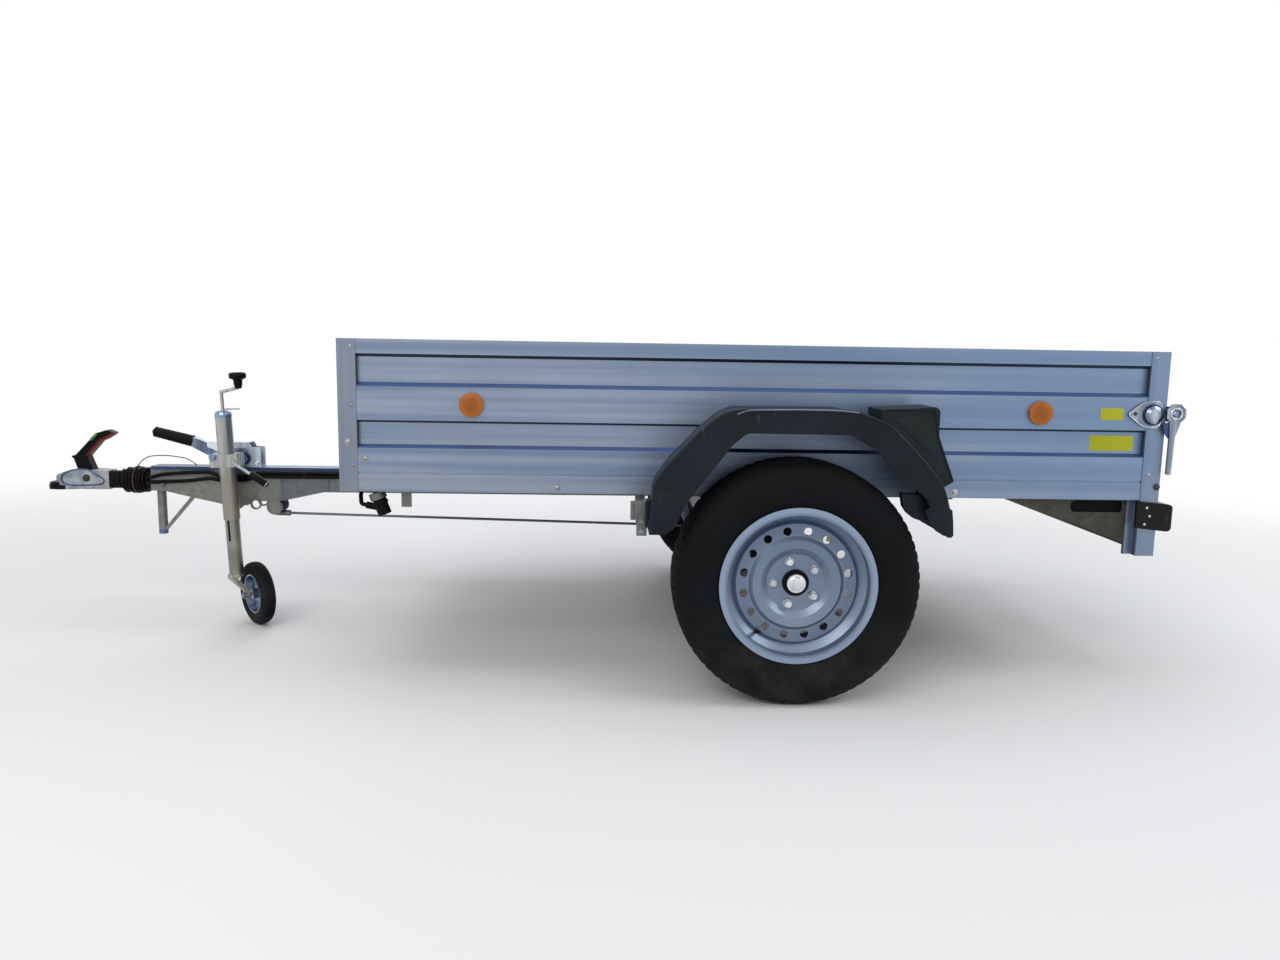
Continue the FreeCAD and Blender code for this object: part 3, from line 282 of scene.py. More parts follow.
# %% [markdown]
# A finish is more than a colour. Five effects come back on many pieces, so each is a node group, built once: fine
# parallel lines from rolling or drawing metal, the crystal patches of hot-dip zinc, the dust that gathers low down and
# on top faces, the soft mottling that no moulding or casting escapes, and masks of faces that lean up, lean down and
# lie level on top, which carry painted sky reflection, painted shade and painted highlights.
# Each group gives out colours, masks or heights only. The shader itself stays in the material.

# %% Effect: fine parallel lines
def build_lines(group, given):
    """Lines across Stretch's short axes: a height, and a mask of broad soft bands."""
    fine = noise(group, scaled_place(group, given["Stretch"]), 1.0, 4.0, 0.7)
    broad = noise(group, scaled_place(group, given["Band stretch"]), 1.0, 2.0, 0.5)
    return fine, ramp_mask(group, broad, 0.35, 0.65)


# %% Effect: zinc crystals
def build_crystals(group, given):
    """The patches that molten zinc leaves as it sets: a mask per patch and a height at their edges."""
    inputs = {"Vector": object_place(group), "Scale": given["Scale"]}
    cells = add_node(group, "TexVoronoi", inputs, feature="F1").outputs
    return add_node(group, "SeparateColor", {"Color": cells["Color"]}).outputs[0], cells["Distance"]


# %% Effect: settled dust
def build_dust(group, given):
    """A mask of dust: more of it low down, on faces that look up, and in soft patches."""
    height = object_axes(group)["Z"]
    low = ramp_mask(group, height, given["Low height"], given["High height"], To_Min=1.0, To_Max=0.0)
    top = times(group, ramp_mask(group, upward(group), 0.3, 1.0), given["On top"])
    patches = noise(group, object_place(group), 14.0, 6.0, 0.65)
    low_or_top = math_node(group, "ADD", low, top, clamp=True)
    return [times(group, low_or_top, ramp_mask(group, patches, 0.3, 0.7), given["Amount"])]


# %% Effect: mottling and grain
def build_mottle(group, given):
    """Soft cloudy variation, a fine grain height and rare small scuffs."""
    place = object_place(group)
    cloud = noise(group, place, given["Cloud scale"], 5.0)
    streaks = noise(group, scaled_place(group, (60.0, 60.0, 9.0)), 1.0, 5.0, 0.6)
    grain = noise(group, place, given["Grain scale"], 2.0)
    return ramp_mask(group, cloud, 0.3, 0.7), grain, ramp_mask(group, streaks, 0.64, 0.74)


# %% Effect: faces that lean
def build_folds(group, given):
    """Masks of faces that lean up, of faces that lean down, and of level faces on top."""
    masks = []
    for sign in (1.0, -1.0):
        lean = times(group, upward(group), sign)
        not_level = math_node(group, "SUBTRACT", 1.0, ramp_mask(group, lean, 0.90, 0.98))
        masks.append(times(group, ramp_mask(group, lean, 0.22, 0.5), not_level))
    masks.append(ramp_mask(group, upward(group), 0.92, 0.99))
    return [times(group, mask, given["Amount"]) for mask in masks]


LINES = new_group(
    "Fine lines", {"Stretch": (2.0, 300.0, 300.0), "Band stretch": (0.6, 30.0, 30.0)},
    ("Height", "Bands"), build_lines)
CRYSTALS = new_group("Zinc crystals", {"Scale": 70.0}, ("Patch", "Edge"), build_crystals)
DUST = new_group(
    "Settled dust", {"Low height": 0.05, "High height": 0.6, "On top": 0.35, "Amount": 0.5}, ("Mask",), build_dust)
MOTTLE = new_group(
    "Mottle and grain", {"Cloud scale": 6.0, "Grain scale": 900.0}, ("Cloud", "Grain", "Scuffs"), build_mottle)
FOLDS = new_group("Leaning faces", {"Amount": 1.0}, ("Up", "Down", "Level"), build_folds)
print("effects:", [group.name for group in (LINES, CRYSTALS, DUST, MOTTLE, FOLDS)])

# %% [markdown]
# Every material starts the same way: a Principled shader whose plain numbers are typed on its own
# sockets, and a small builder that places a group, mixes two colours by its mask, and turns a height
# into bump. Colours are written as they should look in the picture and turned into linear light here.

# %% Material builder
DUST_COLOUR = (0.33, 0.30, 0.26, 1)
FINISHES = {}


def linear(red, green, blue):
    """Linear colour of an 8-bit screen colour."""
    def channel(value):
        value /= 255
        return value / 12.92 if value <= 0.04045 else ((value + 0.055) / 1.055) ** 2.4
    return (channel(red), channel(green), channel(blue), 1.0)


class Finish:
    """One material while it is being built. FINISHES keeps it under its name."""

    def __init__(self, name, metallic=0.0, roughness=0.5, **sockets):
        material = FINISHES[name] = bpy.data.materials.new(name)
        material.use_nodes = True
        self.tree = material.node_tree
        self.shader = self.tree.nodes["Principled BSDF"]
        for socket_name, value in {"Metallic": metallic, "Roughness": roughness, **sockets}.items():
            self.shader.inputs[socket_name.replace("_", " ")].default_value = value

    def effect(self, group, **values):
        inputs = {socket_name.replace("_", " "): value for socket_name, value in values.items()}
        return add_node(self.tree, "Group", inputs, node_tree=group).outputs

    def mottle(self, cloud_scale, grain_scale=900.0):
        return self.effect(MOTTLE, Cloud_scale=cloud_scale, Grain_scale=grain_scale)

    def mix(self, mask, first, second):
        """Mixes two colours: sockets, screen colours of three numbers or linear ones of four."""
        first, second = (linear(*c) if isinstance(c, tuple) and len(c) == 3 else c for c in (first, second))
        return mix_colours(self.tree, mask, first, second)

    def between(self, mask, low, high):
        """A number that goes from low to high with a mask."""
        inputs = {"Value": mask, "To Min": low, "To Max": high}
        return add_node(self.tree, "MapRange", inputs).outputs["Result"]

    def tint(self, mask, share, colour, other):
        """Where the mask is, takes a colour a share of the way to the other."""
        return self.mix(self.between(mask, 0.0, share), colour, other)

    def colour(self, socket):
        self.tree.links.new(socket, self.shader.inputs["Base Color"])

    def rough(self, mask, low, high):
        self.tree.links.new(self.between(mask, low, high), self.shader.inputs["Roughness"])

    def bump(self, height, strength, distance):
        """Adds a bump in front of the ones already there."""
        inputs = {"Strength": strength, "Distance": distance, "Height": height}
        target = self.shader.inputs["Normal"]
        if target.is_linked:
            inputs["Normal"] = target.links[0].from_socket
        self.tree.links.new(add_node(self.tree, "Bump", inputs).outputs["Normal"], target)

    def dusty(self, colour, low, high, on_top, amount):
        """Covers a colour with settled dust, from none above the high place to most below the low one."""
        mask = self.effect(DUST, Low_height=low, High_height=high, On_top=on_top, Amount=amount)["Mask"]
        self.colour(self.mix(mask, colour, DUST_COLOUR))

# %% [markdown]
# The side walls are folded from rolled aluminium with a satin face. Rolling leaves very fine lines along
# the sheet, which widen every reflection across them, and broad faint bands where the rolls were worn.
# The lines are a stretched noise that drives both roughness and bump. The posts are folded from the same
# sheet but stand upright, so their lines run up and down.

# %% Aluminium of walls and posts
# Painted light on the sheet: the blue of sky reflected in faces that lean up and towards the rear, and painted shade
# on faces that lean down and where the recesses meet the posts.
PAINTED_SKY_REFLECTION = (46, 72, 122)
PAINTED_SHADE_DARK = (34, 38, 48)
PAINTED_REAR_SKY = (116, 145, 180)


def recess_end_mask(tree, place):
    """Where the side walls' recesses run out beside a post: a shade that deepens towards the post."""
    aside = math_node(tree, "ABSOLUTE", place["Y"])
    inner = math_node(tree, "LESS_THAN", aside, (PANEL_FACE - 5) * MM)
    outer = math_node(tree, "GREATER_THAN", aside, (PANEL_FACE - 14) * MM)
    rear_edge, front_edge = (at(x, 0, 0).x for x in (post_high.x, front_post_low.x))
    rear_end = ramp_mask(tree, place["X"], rear_edge + 26 * MM, rear_edge - 4 * MM)
    front_end = ramp_mask(tree, place["X"], front_edge - 12 * MM, front_edge + 2 * MM)
    return times(tree, inner, outer, math_node(tree, "MAXIMUM", rear_end, front_end), 0.75)


def rolled_aluminium(name, along, light, dark, rear_sky_share=0.5):
    """Sheet with its lines along an axis, bluer towards the rear as a painted reflection of the sky."""
    finish = Finish(name, metallic=0.78, roughness=0.40)
    stretch = tuple(1.4 if axis == along else 260.0 for axis in "XYZ")
    bands = tuple(0.5 if axis == along else 26.0 for axis in "XYZ")
    lines = finish.effect(LINES, Stretch=stretch, Band_stretch=bands)
    shade = tuple(0.86 * channel for channel in linear(*dark)[:3]) + (1.0,)
    sheet = finish.tint(finish.mottle(3.0)["Cloud"], 0.35, finish.mix(lines["Bands"], dark, light), shade)
    place = object_axes(finish.tree)
    # Painted sky reflection, growing towards the rear
    sheet = finish.tint(ramp_mask(finish.tree, place["X"], 0.2, -1.6), rear_sky_share, sheet, PAINTED_REAR_SKY)
    # Painted shade in the recesses where they run out beside the posts
    sheet = finish.mix(recess_end_mask(finish.tree, place), sheet, PAINTED_SHADE_DARK)
    folds = finish.effect(FOLDS, Amount=0.85)
    # Painted sky reflection on faces that lean up and painted shade on faces that lean down
    sheet = finish.mix(folds["Down"], finish.mix(folds["Up"], sheet, PAINTED_SKY_REFLECTION), PAINTED_SHADE_DARK)
    finish.dusty(sheet, 0.46, 0.60, 0.2, 0.25)
    finish.rough(lines["Height"], 0.34, 0.50)
    finish.bump(lines["Height"], 0.10, 0.0004)


rolled_aluminium("satin_wall_sheet", "X", (141, 151, 168), (110, 127, 152))
rolled_aluminium("satin_end_sheet", "Y", (141, 151, 168), (110, 127, 152), 0.1)
rolled_aluminium("satin_post_sheet", "Z", (128, 136, 151), (108, 117, 134))
print("wall finishes:", list(FINISHES))

# %% [markdown]
# The frame below the box, its brackets and the light carrier are hot-dip galvanised: dull grey zinc whose
# crystals reflect in slightly different ways, so each patch gets its own tone and its own roughness.
# The jockey wheel's tubes, the coupling and the handbrake are plated instead, which is smoother, brighter
# and without crystals, with faint streaks from the bath.

# %% Zinc finishes
def galvanised(name, light, dark, crystal_scale=65.0, band=None):
    """Dull zinc. A band, (axis, low, high, colour, share), tints the faces between two places along an axis."""
    finish = Finish(name, metallic=0.75, roughness=0.5)
    tree = finish.tree
    crystals = finish.effect(CRYSTALS, Scale=crystal_scale)
    mottle = finish.mottle(9.0)
    zinc = finish.tint(mottle["Cloud"], 0.5, finish.mix(crystals["Patch"], dark, light), dark)
    folds = finish.effect(FOLDS, Amount=0.6)
    # Painted highlight on level top faces and painted sky reflection on faces that lean up
    zinc = finish.mix(folds["Up"], finish.mix(folds["Level"], zinc, (170, 180, 200)), PAINTED_SKY_REFLECTION)
    if band:
        axis, low, high, colour, share = band
        place = object_axes(tree)[axis]
        above = ramp_mask(tree, place, low - 2 * MM, low + 2 * MM)
        below = ramp_mask(tree, place, high + 1 * MM, high)
        zinc = finish.mix(times(tree, above, below, share), zinc, colour)
    finish.dusty(zinc, 0.1, 0.45, 0.1, 0.35)
    finish.rough(crystals["Patch"], 0.42, 0.60)
    finish.bump(crystals["Edge"], 0.08, 0.0006)
    finish.bump(mottle["Grain"], 0.06, 0.0003)


def plated(name, light, dark, roughness, stretch=(40.0, 40.0, 3.0)):
    """Smooth plating with faint streaks from the bath. stretch says how fine they are along each axis."""
    finish = Finish(name, metallic=0.95, roughness=roughness)
    lines = finish.effect(LINES, Stretch=(stretch[0] * 8, stretch[1] * 8, stretch[2]), Band_stretch=stretch)
    mottle = finish.mottle(12.0)
    zinc = finish.tint(mottle["Scuffs"], 0.5, finish.mix(lines["Bands"], dark, light), dark)
    # Painted sky reflection on faces that lean up
    zinc = finish.mix(finish.effect(FOLDS, Amount=0.45)["Up"], zinc, PAINTED_SKY_REFLECTION)
    finish.dusty(zinc, 0.02, 0.35, 0.15, 0.4)
    finish.rough(mottle["Cloud"], roughness - 0.06, roughness + 0.10)
    finish.bump(lines["Height"], 0.05, 0.0003)


DRAWBAR_TOP = span("drawbar")[1].z * MM
FOOT_END = span("support_foot")[0].z * MM
# A navy band along the drawbar's upper side: painted sky reflection
DRAWBAR_SKY_BAND = ("Z", DRAWBAR_TOP - 11 * MM, DRAWBAR_TOP - 0.5 * MM, (40, 56, 100), 0.85)
FOOT_BAND = ("Z", FOOT_END - 5 * MM, FOOT_END + 14 * MM, (84, 104, 156), 0.8)
# The side plates darker behind 1491 mm: painted shade
PLATE_SHADE_BAND = ("X", ORIGIN.x, at(1491, 0, 0).x, (80, 85, 102), 0.5)
galvanised("galvanised_steel", (126, 128, 125), (98, 101, 99))
galvanised("drawbar_zinc", (126, 128, 125), (98, 101, 99), band=DRAWBAR_SKY_BAND)
galvanised("foot_zinc", (134, 136, 136), (106, 109, 109), band=FOOT_BAND)
galvanised("side_plate_zinc", (134, 136, 128), (106, 108, 102), band=PLATE_SHADE_BAND)
# The light carrier's zinc is darker and browner than the rest: painted shade under the wall's lower edge
galvanised("carrier_zinc_in_shade", (84, 82, 73), (60, 58, 51), 55.0)
plated("plated_steel", (178, 180, 178), (140, 143, 142), 0.30)
plated("plated_casting", (160, 165, 168), (124, 131, 140), 0.36, (30.0, 30.0, 30.0))
plated("blue_plated_steel", (160, 176, 196), (104, 124, 152), 0.24)
plated("bright_steel", (222, 225, 228), (190, 195, 202), 0.14)
plated("light_housing_plate", (216, 224, 232), (176, 190, 204), 0.5)
plated("dark_lever_plate", (124, 136, 152), (82, 98, 120), 0.28)
plated("fork_plate", (190, 184, 170), (160, 153, 140), 0.5)
# Dark navy plate: painted shade on metal, for the head's pressed edge, the pivot spring, the dome's ring and the latch
# tongues
plated("dark_casting_edge", (74, 90, 126), (46, 60, 92), 0.4)
plated("bright_latch_plate", (176, 184, 196), (118, 128, 146), 0.12)
print("finishes so far:", len(FINISHES))

# %% [markdown]
# The rims are sprayed silver: a base colour full of tiny metal flakes under a thin clear coat. The flakes
# are a very fine noise on the bump and on the colour, and the coat gives the sharp second reflection.

# %% Painted finishes
def silver_paint():
    """Silver with painted shade in a ring round the rim's holes and a painted highlight on the lip, both by the
    distance from the axis.
    """
    finish = Finish("silver_wheel_paint", metallic=0.55, roughness=0.36, Coat_Weight=0.35, Coat_Roughness=0.12)
    tree = finish.tree
    mottle = finish.mottle(5.0, 2600.0)
    silver = finish.mix(mottle["Grain"], (90, 106, 128), (132, 149, 172))
    silver = finish.tint(mottle["Cloud"], 0.3, silver, (78, 95, 120))
    place = object_axes(tree)
    centre = at(*AXLE)
    ahead = math_node(tree, "SUBTRACT", place["X"], centre.x)
    above = math_node(tree, "SUBTRACT", place["Z"], centre.z)
    squares = math_node(tree, "ADD", times(tree, ahead, ahead), times(tree, above, above))
    radius = math_node(tree, "SQRT", squares)
    # Painted shade in a ring round the holes, then a painted highlight on the lip
    ring = times(tree, ramp_mask(tree, radius, 0.118, 0.128), ramp_mask(tree, radius, 0.168, 0.158))
    silver = finish.tint(ring, 0.30, silver, (58, 78, 110))
    silver = finish.tint(ramp_mask(tree, radius, 0.178, 0.186), 0.55, silver, (150, 170, 196))
    finish.dusty(silver, 0.1, 0.5, 0.2, 0.15)
    finish.bump(mottle["Grain"], 0.05, 0.0002)


def drum_paint():
    finish = Finish("black_drum_paint", metallic=0.1, roughness=0.6)
    mottle = finish.mottle(18.0, 420.0)
    finish.dusty(finish.mix(mottle["Cloud"], (30, 30, 32), (52, 50, 49)), 0.1, 0.5, 0.3, 0.5)
    finish.bump(mottle["Grain"], 0.25, 0.0006)


silver_paint()
drum_paint()
print("paints:", list(FINISHES)[-2:])

# %% [markdown]
# Black plastic and rubber differ in their grain more than in their colour. The mudguard's plastic has a
# pebbled grain and a soft sheen, the lamp housing is smoother, and the tyre's rubber is matt, a little
# brown where dust has settled into its tread. The bellows and the lead are softer and blacker.

# %% Plastic and rubber
def moulding(name, dark, light, roughness, grain_scale, grain_depth, dust, specular=0.18):
    """Plastic or rubber with a pebbled grain, rare pale scuffs and a little dust."""
    finish = Finish(name, roughness=roughness, Specular_IOR_Level=specular)
    mottle = finish.mottle(7.0, grain_scale)
    colour = finish.tint(mottle["Scuffs"], 0.25, finish.mix(mottle["Cloud"], dark, light), (96, 98, 100))
    finish.dusty(colour, 0.05, 0.5, 0.12, dust)
    finish.rough(mottle["Cloud"], roughness - 0.07, roughness + 0.09)
    finish.bump(mottle["Grain"], 0.35, grain_depth)


def tyre_rubber():
    finish = Finish("tyre_rubber", roughness=0.72, Specular_IOR_Level=0.10)
    mottle = finish.mottle(9.0, 520.0)
    finish.dusty(finish.mix(mottle["Cloud"], (10, 12, 14), (17, 20, 23)), 0.0, 0.30, 0.05, 0.06)
    finish.rough(mottle["Cloud"], 0.66, 0.84)
    finish.bump(mottle["Grain"], 0.22, 0.0006)


# Name, dark and light tone, roughness, scale and depth of the grain, dust, and specular where it isn't 0.18
MOULDINGS = (
    ("mudguard_plastic", (11, 16, 24), (18, 25, 34), 0.42, 700.0, 0.0003, 0.03),
    # Pale plastic of the mudguard's ridge: a painted highlight
    ("lit_ridge_plastic", (104, 114, 124), (128, 138, 148), 0.40, 700.0, 0.0002, 0.05),
    ("rolled_bead_plastic", (14, 19, 27), (24, 31, 40), 0.30, 700.0, 0.0002, 0.05),
    ("chock_plastic", (14, 20, 21), (28, 37, 38), 0.48, 500.0, 0.0004, 0.06),
    ("lamp_plastic", (10, 11, 12), (16, 17, 19), 0.40, 900.0, 0.0002, 0.05),
    ("grip_plastic", (9, 9, 10), (15, 15, 17), 0.42, 800.0, 0.0002, 0.03, 0.08),
    ("soft_rubber", (9, 9, 10), (15, 15, 16), 0.50, 650.0, 0.0003, 0.05, 0.08),
    ("cable_jacket", (7, 6, 7), (13, 12, 13), 0.38, 1200.0, 0.0001, 0.03, 0.08),
    ("brown_jacket", (60, 34, 28), (84, 54, 46), 0.45, 1200.0, 0.0001, 0.1),
    ("yellow_label", (158, 160, 24), (172, 174, 36), 0.45, 300.0, 0.00005, 0.1, 0.28),
    ("beige_label", (150, 146, 124), (166, 162, 140), 0.6, 300.0, 0.0001, 0.2),
    ("orange_plastic", (84, 18, 12), (112, 28, 20), 0.45, 500.0, 0.0002, 0.05),
    ("green_mark", (66, 140, 60), (92, 170, 84), 0.45, 500.0, 0.0001, 0.05),
)
for moulding_row in MOULDINGS:
    moulding(*moulding_row)
tyre_rubber()
print("plastic and rubber:", [row[0] for row in MOULDINGS])

# %% [markdown]
# The floor board is birch plywood under a dark resin film. Its upper face is pressed against a wire mesh
# for grip, so it carries a fine diamond pattern, made here from two crossed sets of ridges. The edge of
# the board would show its plies, so a stack of thin bands by height mixes in wherever a face looks sideways.

# %% Floor board
def ridges(tree, vector, angle, pitch):
    """A saw-tooth of ridges across one direction in the floor's plane, as a height."""
    inputs = {"Vector": vector, "Rotation": (0.0, 0.0, angle), "Scale": (1 / pitch, 1 / pitch, 1 / pitch)}
    turned_place = add_node(tree, "Mapping", inputs).outputs["Vector"]
    inputs = {"Vector": turned_place, "Scale": 0.31}
    return add_node(tree, "TexWave", inputs, wave_type="BANDS", bands_direction="X").outputs["Fac"]


def film_plywood():
    finish = Finish("film_faced_plywood", roughness=0.42, Coat_Weight=0.15, Coat_Roughness=0.3)
    tree = finish.tree
    place = object_place(tree)
    mesh_height = math_node(tree, "MAXIMUM", ridges(tree, place, 0.6, 0.005), ridges(tree, place, -0.6, 0.005))
    mottle = finish.mottle(2.5, 300.0)
    film = finish.mix(mottle["Cloud"], (58, 38, 28), (78, 54, 40))
    plies = noise(tree, scaled_place(tree, (2.0, 2.0, 700.0)), 1.0, 1.0)
    edge = finish.mix(ramp_mask(tree, plies, 0.4, 0.6), (150, 112, 74), (198, 164, 118))
    flat_face = math_node(tree, "ABSOLUTE", upward(tree))
    finish.dusty(finish.mix(ramp_mask(tree, flat_face, 0.4, 0.6), edge, film), 0.0, 0.01, 0.5, 0.35)
    finish.rough(mottle["Cloud"], 0.34, 0.50)
    finish.bump(mesh_height, 0.5, 0.0005)


film_plywood()
print("floor:", list(FINISHES)[-1])

# %% [markdown]
# A reflector or a lens is clear coloured plastic with a relief of tiny prisms on its back. Seen from
# outside, the relief shows as a fine honeycomb under a smooth face: a Voronoi cell pattern that drives
# colour and bump below a coat that stays smooth.

# %% Lenses and reflectors
def prism_lens(name, deep, bright, scale):
    finish = Finish(name, roughness=0.35, Coat_Weight=0.15, Coat_Roughness=0.1, Specular_IOR_Level=0.3)
    inputs = {"Vector": object_place(finish.tree), "Scale": scale, "Randomness": 0.15}
    prisms = add_node(finish.tree, "TexVoronoi", inputs, feature="F1").outputs["Distance"]
    lens = finish.mix(ramp_mask(finish.tree, prisms, 0.1, 0.6), bright, deep)
    finish.colour(finish.tint(finish.mottle(25.0)["Cloud"], 0.3, lens, deep))
    finish.bump(prisms, 0.5, 0.0008)


prism_lens("amber_prisms", (138, 72, 6), (208, 122, 20), 260.0)
prism_lens("red_prisms", (120, 8, 10), (206, 28, 26), 300.0)
print("lenses:", list(FINISHES)[-2:])

# %% [markdown]
# The jockey wheel's sliding tube is duller than the outer one and has a narrow slot down its left side. A
# real cut would need a new solid, and a strip laid on it would catch in the outer tube, so the slot is
# painted dark by place: near the tube's leaning centre line, between two heights, on the left half only.

# %% Slotted tube
JOCKEY_LEAN = math.radians(2.4)
JOCKEY_PIVOT = at(1626, 95, 517)
SLOT_HIGH = 333 * MM
SLOT_LOW = 268 * MM
SLOT_FORWARD = 4 * MM
SLOT_HALF = 3.4 * MM


def slotted_tube():
    finish = Finish("worn_slotted_tube", metallic=0.85, roughness=0.38)
    tree = finish.tree
    lines = finish.effect(LINES, Stretch=(240.0, 240.0, 4.0), Band_stretch=(30.0, 30.0, 3.0))
    worn = finish.mix(finish.mottle(14.0)["Cloud"], (134, 131, 120), (168, 165, 154))
    streaked = finish.tint(lines["Bands"], 0.4, worn, (122, 118, 108))
    place = object_axes(tree)
    leaned = times(tree, math_node(tree, "SUBTRACT", place["Z"], JOCKEY_PIVOT.z), math.tan(JOCKEY_LEAN))
    centre = math_node(tree, "ADD", leaned, JOCKEY_PIVOT.x + SLOT_FORWARD)
    aside = math_node(tree, "ABSOLUTE", math_node(tree, "SUBTRACT", place["X"], centre))
    slot = times(
        tree, math_node(tree, "LESS_THAN", aside, SLOT_HALF), math_node(tree, "LESS_THAN", place["Z"], SLOT_HIGH),
        math_node(tree, "GREATER_THAN", place["Z"], SLOT_LOW),
        math_node(tree, "GREATER_THAN", place["Y"], JOCKEY_PIVOT.y))
    finish.colour(finish.mix(slot, streaked, (30, 27, 24)))
    finish.rough(slot, 0.36, 0.8)
    finish.bump(lines["Height"], 0.06, 0.0003)


def outer_tube():
    """Bright above the clamp, dull and brownish below it."""
    finish = Finish("outer_tube_plate", metallic=0.92, roughness=0.32)
    lines = finish.effect(LINES, Stretch=(320.0, 320.0, 3.0), Band_stretch=(40.0, 40.0, 3.0))
    zinc = finish.mix(lines["Bands"], (140, 143, 142), (180, 182, 178))
    height = object_axes(finish.tree)["Z"]
    below = ramp_mask(finish.tree, height, JOCKEY_PIVOT.z - 10 * MM, JOCKEY_PIVOT.z - 60 * MM)
    finish.colour(finish.tint(below, 0.75, zinc, (138, 132, 120)))
    finish.rough(below, 0.28, 0.42)
    finish.bump(lines["Height"], 0.05, 0.0003)


slotted_tube()
outer_tube()
print("tubes:", list(FINISHES)[-2:])

# %% [markdown]
# Each CAD node now gets its finish. Most names tell which: a table of name beginnings and materials is
# enough. The node keeps its mesh, only its material slots change.

# %% Finish of every CAD node
# Beginning of a node's name and its finish. The first that fits counts, and the rest is galvanised steel
NODE_FINISHES = (
    ("side_panel", "satin_wall_sheet"), ("front_panel", "satin_end_sheet"), ("gate_panel", "satin_end_sheet"),
    ("front_post", "satin_post_sheet"), ("rear_post", "satin_post_sheet"), ("floor_board", "film_faced_plywood"),
    ("mudguard_stays", "galvanised_steel"), ("mudguard", "mudguard_plastic"), ("wheel_chock", "chock_plastic"),
    ("wheel_tyre", "tyre_rubber"), ("jockey_tyre", "tyre_rubber"), ("wheel_rim", "silver_wheel_paint"),
    ("jockey_rim", "blue_plated_steel"), ("wheel_drum", "black_drum_paint"), ("light_carrier", "carrier_zinc_in_shade"),
    ("tail_lamp", "lamp_plastic"), ("reflectors", "amber_prisms"), ("latch_keepers", "bright_latch_plate"),
    ("gate_latches", "bright_latch_plate"), ("coupling_head", "plated_casting"), ("coupling_handle", "grip_plastic"),
    ("coupling_bellows", "soft_rubber"), ("lead", "cable_jacket"), ("breakaway_cable", "brown_jacket"),
    ("handbrake_grip", "grip_plastic"), ("handbrake_lever", "dark_lever_plate"), ("handbrake", "light_housing_plate"),
    ("jockey_inner_tube", "worn_slotted_tube"), ("jockey_outer_tube", "outer_tube_plate"),
    ("jockey_fork", "fork_plate"), ("jockey", "plated_steel"), ("plug_holder", "galvanised_steel"),
    ("plug", "grip_plastic"), ("support_foot", "foot_zinc"), ("drawbar_side_plates", "side_plate_zinc"),
    ("drawbar", "drawbar_zinc"), ("", "galvanised_steel"),
)

for node_name, node_object in nodes.items():
    finish_name = next(finish for beginning, finish in NODE_FINISHES if node_name.startswith(beginning))
    node_object.data.materials.clear()
    node_object.data.materials.append(FINISHES[finish_name])
print("finished nodes:", len(nodes))

# %% [markdown]
# Pieces of our own are made as meshes from a few kinds of shape: something turned about an axis, a flat outline given
# thickness, and copies of either joined into one mesh. These helpers hold the mesh work, so that each piece below only
# states its profile and its places. Every piece rides on the CAD body that carries it.

# %% Mesh helpers
OUT = (0, 1, 0)
BACK = (-1, 0, 0)
ON_SIDE = Matrix(((1, 0, 0, ORIGIN.x), (0, 0, 1, 0), (0, 1, 0, 0), (0, 0, 0, 1)))


def placed(piece, material, body):
    """Gives a piece its finish and puts it on a body."""
    piece.data.materials.append(FINISHES[material])
    scene.collection.objects.link(piece)
    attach(piece, body)
    return piece


def new_piece(name, bm, material, slot, body="chassis", smooth_angle=35):
    """Turns a bmesh into an object that rides on a body."""
    mesh = bpy.data.meshes.new(name)
    bmesh.ops.recalc_face_normals(bm, faces=bm.faces)
    bm.to_mesh(mesh)
    bm.free()
    for polygon in mesh.polygons:
        polygon.use_smooth = True
    mesh.set_sharp_from_angle(angle=math.radians(smooth_angle))
    return placed(bpy.data.objects.new(name, mesh), material, body)


def wire(name, points, radius, material, slot, body="chassis", closed=False):
    """A smooth round wire along points in metres, as a curve. Its radius is in millimetres."""
    data = bpy.data.curves.new(name, "CURVE")
    data.dimensions = "3D"
    data.bevel_depth = radius * MM
    data.bevel_resolution = 4
    data.resolution_u = 6
    data.use_fill_caps = True
    spline = data.splines.new("NURBS")
    spline.points.add(len(points) - 1)
    for point, place in zip(spline.points, points):
        point.co = (*place, 1)
    spline.use_cyclic_u = closed
    spline.use_endpoint_u = not closed
    spline.order_u = 3
    return placed(bpy.data.objects.new(name, data), material, body)


def side_wires(*rows):
    """Wires on each side. A row: name, the left one's points in millimetres, and what wire takes after them."""
    for side_name, side_sign in SIDES:
        for name, points, *rest in rows:
            wire(f"{name}_{side_name}", [at(x, side_sign * y, z) for x, y, z in points], *rest)


def merged(parts):
    """One bmesh from several."""
    whole = bmesh.new()
    for part in parts:
        mesh = bpy.data.meshes.new("part")
        part.to_mesh(mesh)
        part.free()
        whole.from_mesh(mesh)
        bpy.data.meshes.remove(mesh)
    return whole


def copies_of(pattern, transforms):
    """One mesh with a copy of the pattern at each transform."""
    copies = []
    for transform in transforms:
        copies.append(pattern.copy())
        bmesh.ops.transform(copies[-1], matrix=transform, verts=copies[-1].verts)
    pattern.free()
    return merged(copies)


def new_pieces(*rows):
    """Pieces of copies. A row: name, pattern, transforms, and what new_piece takes after its mesh."""
    for name, pattern, transforms, *rest in rows:
        new_piece(name, copies_of(pattern, transforms), *rest)


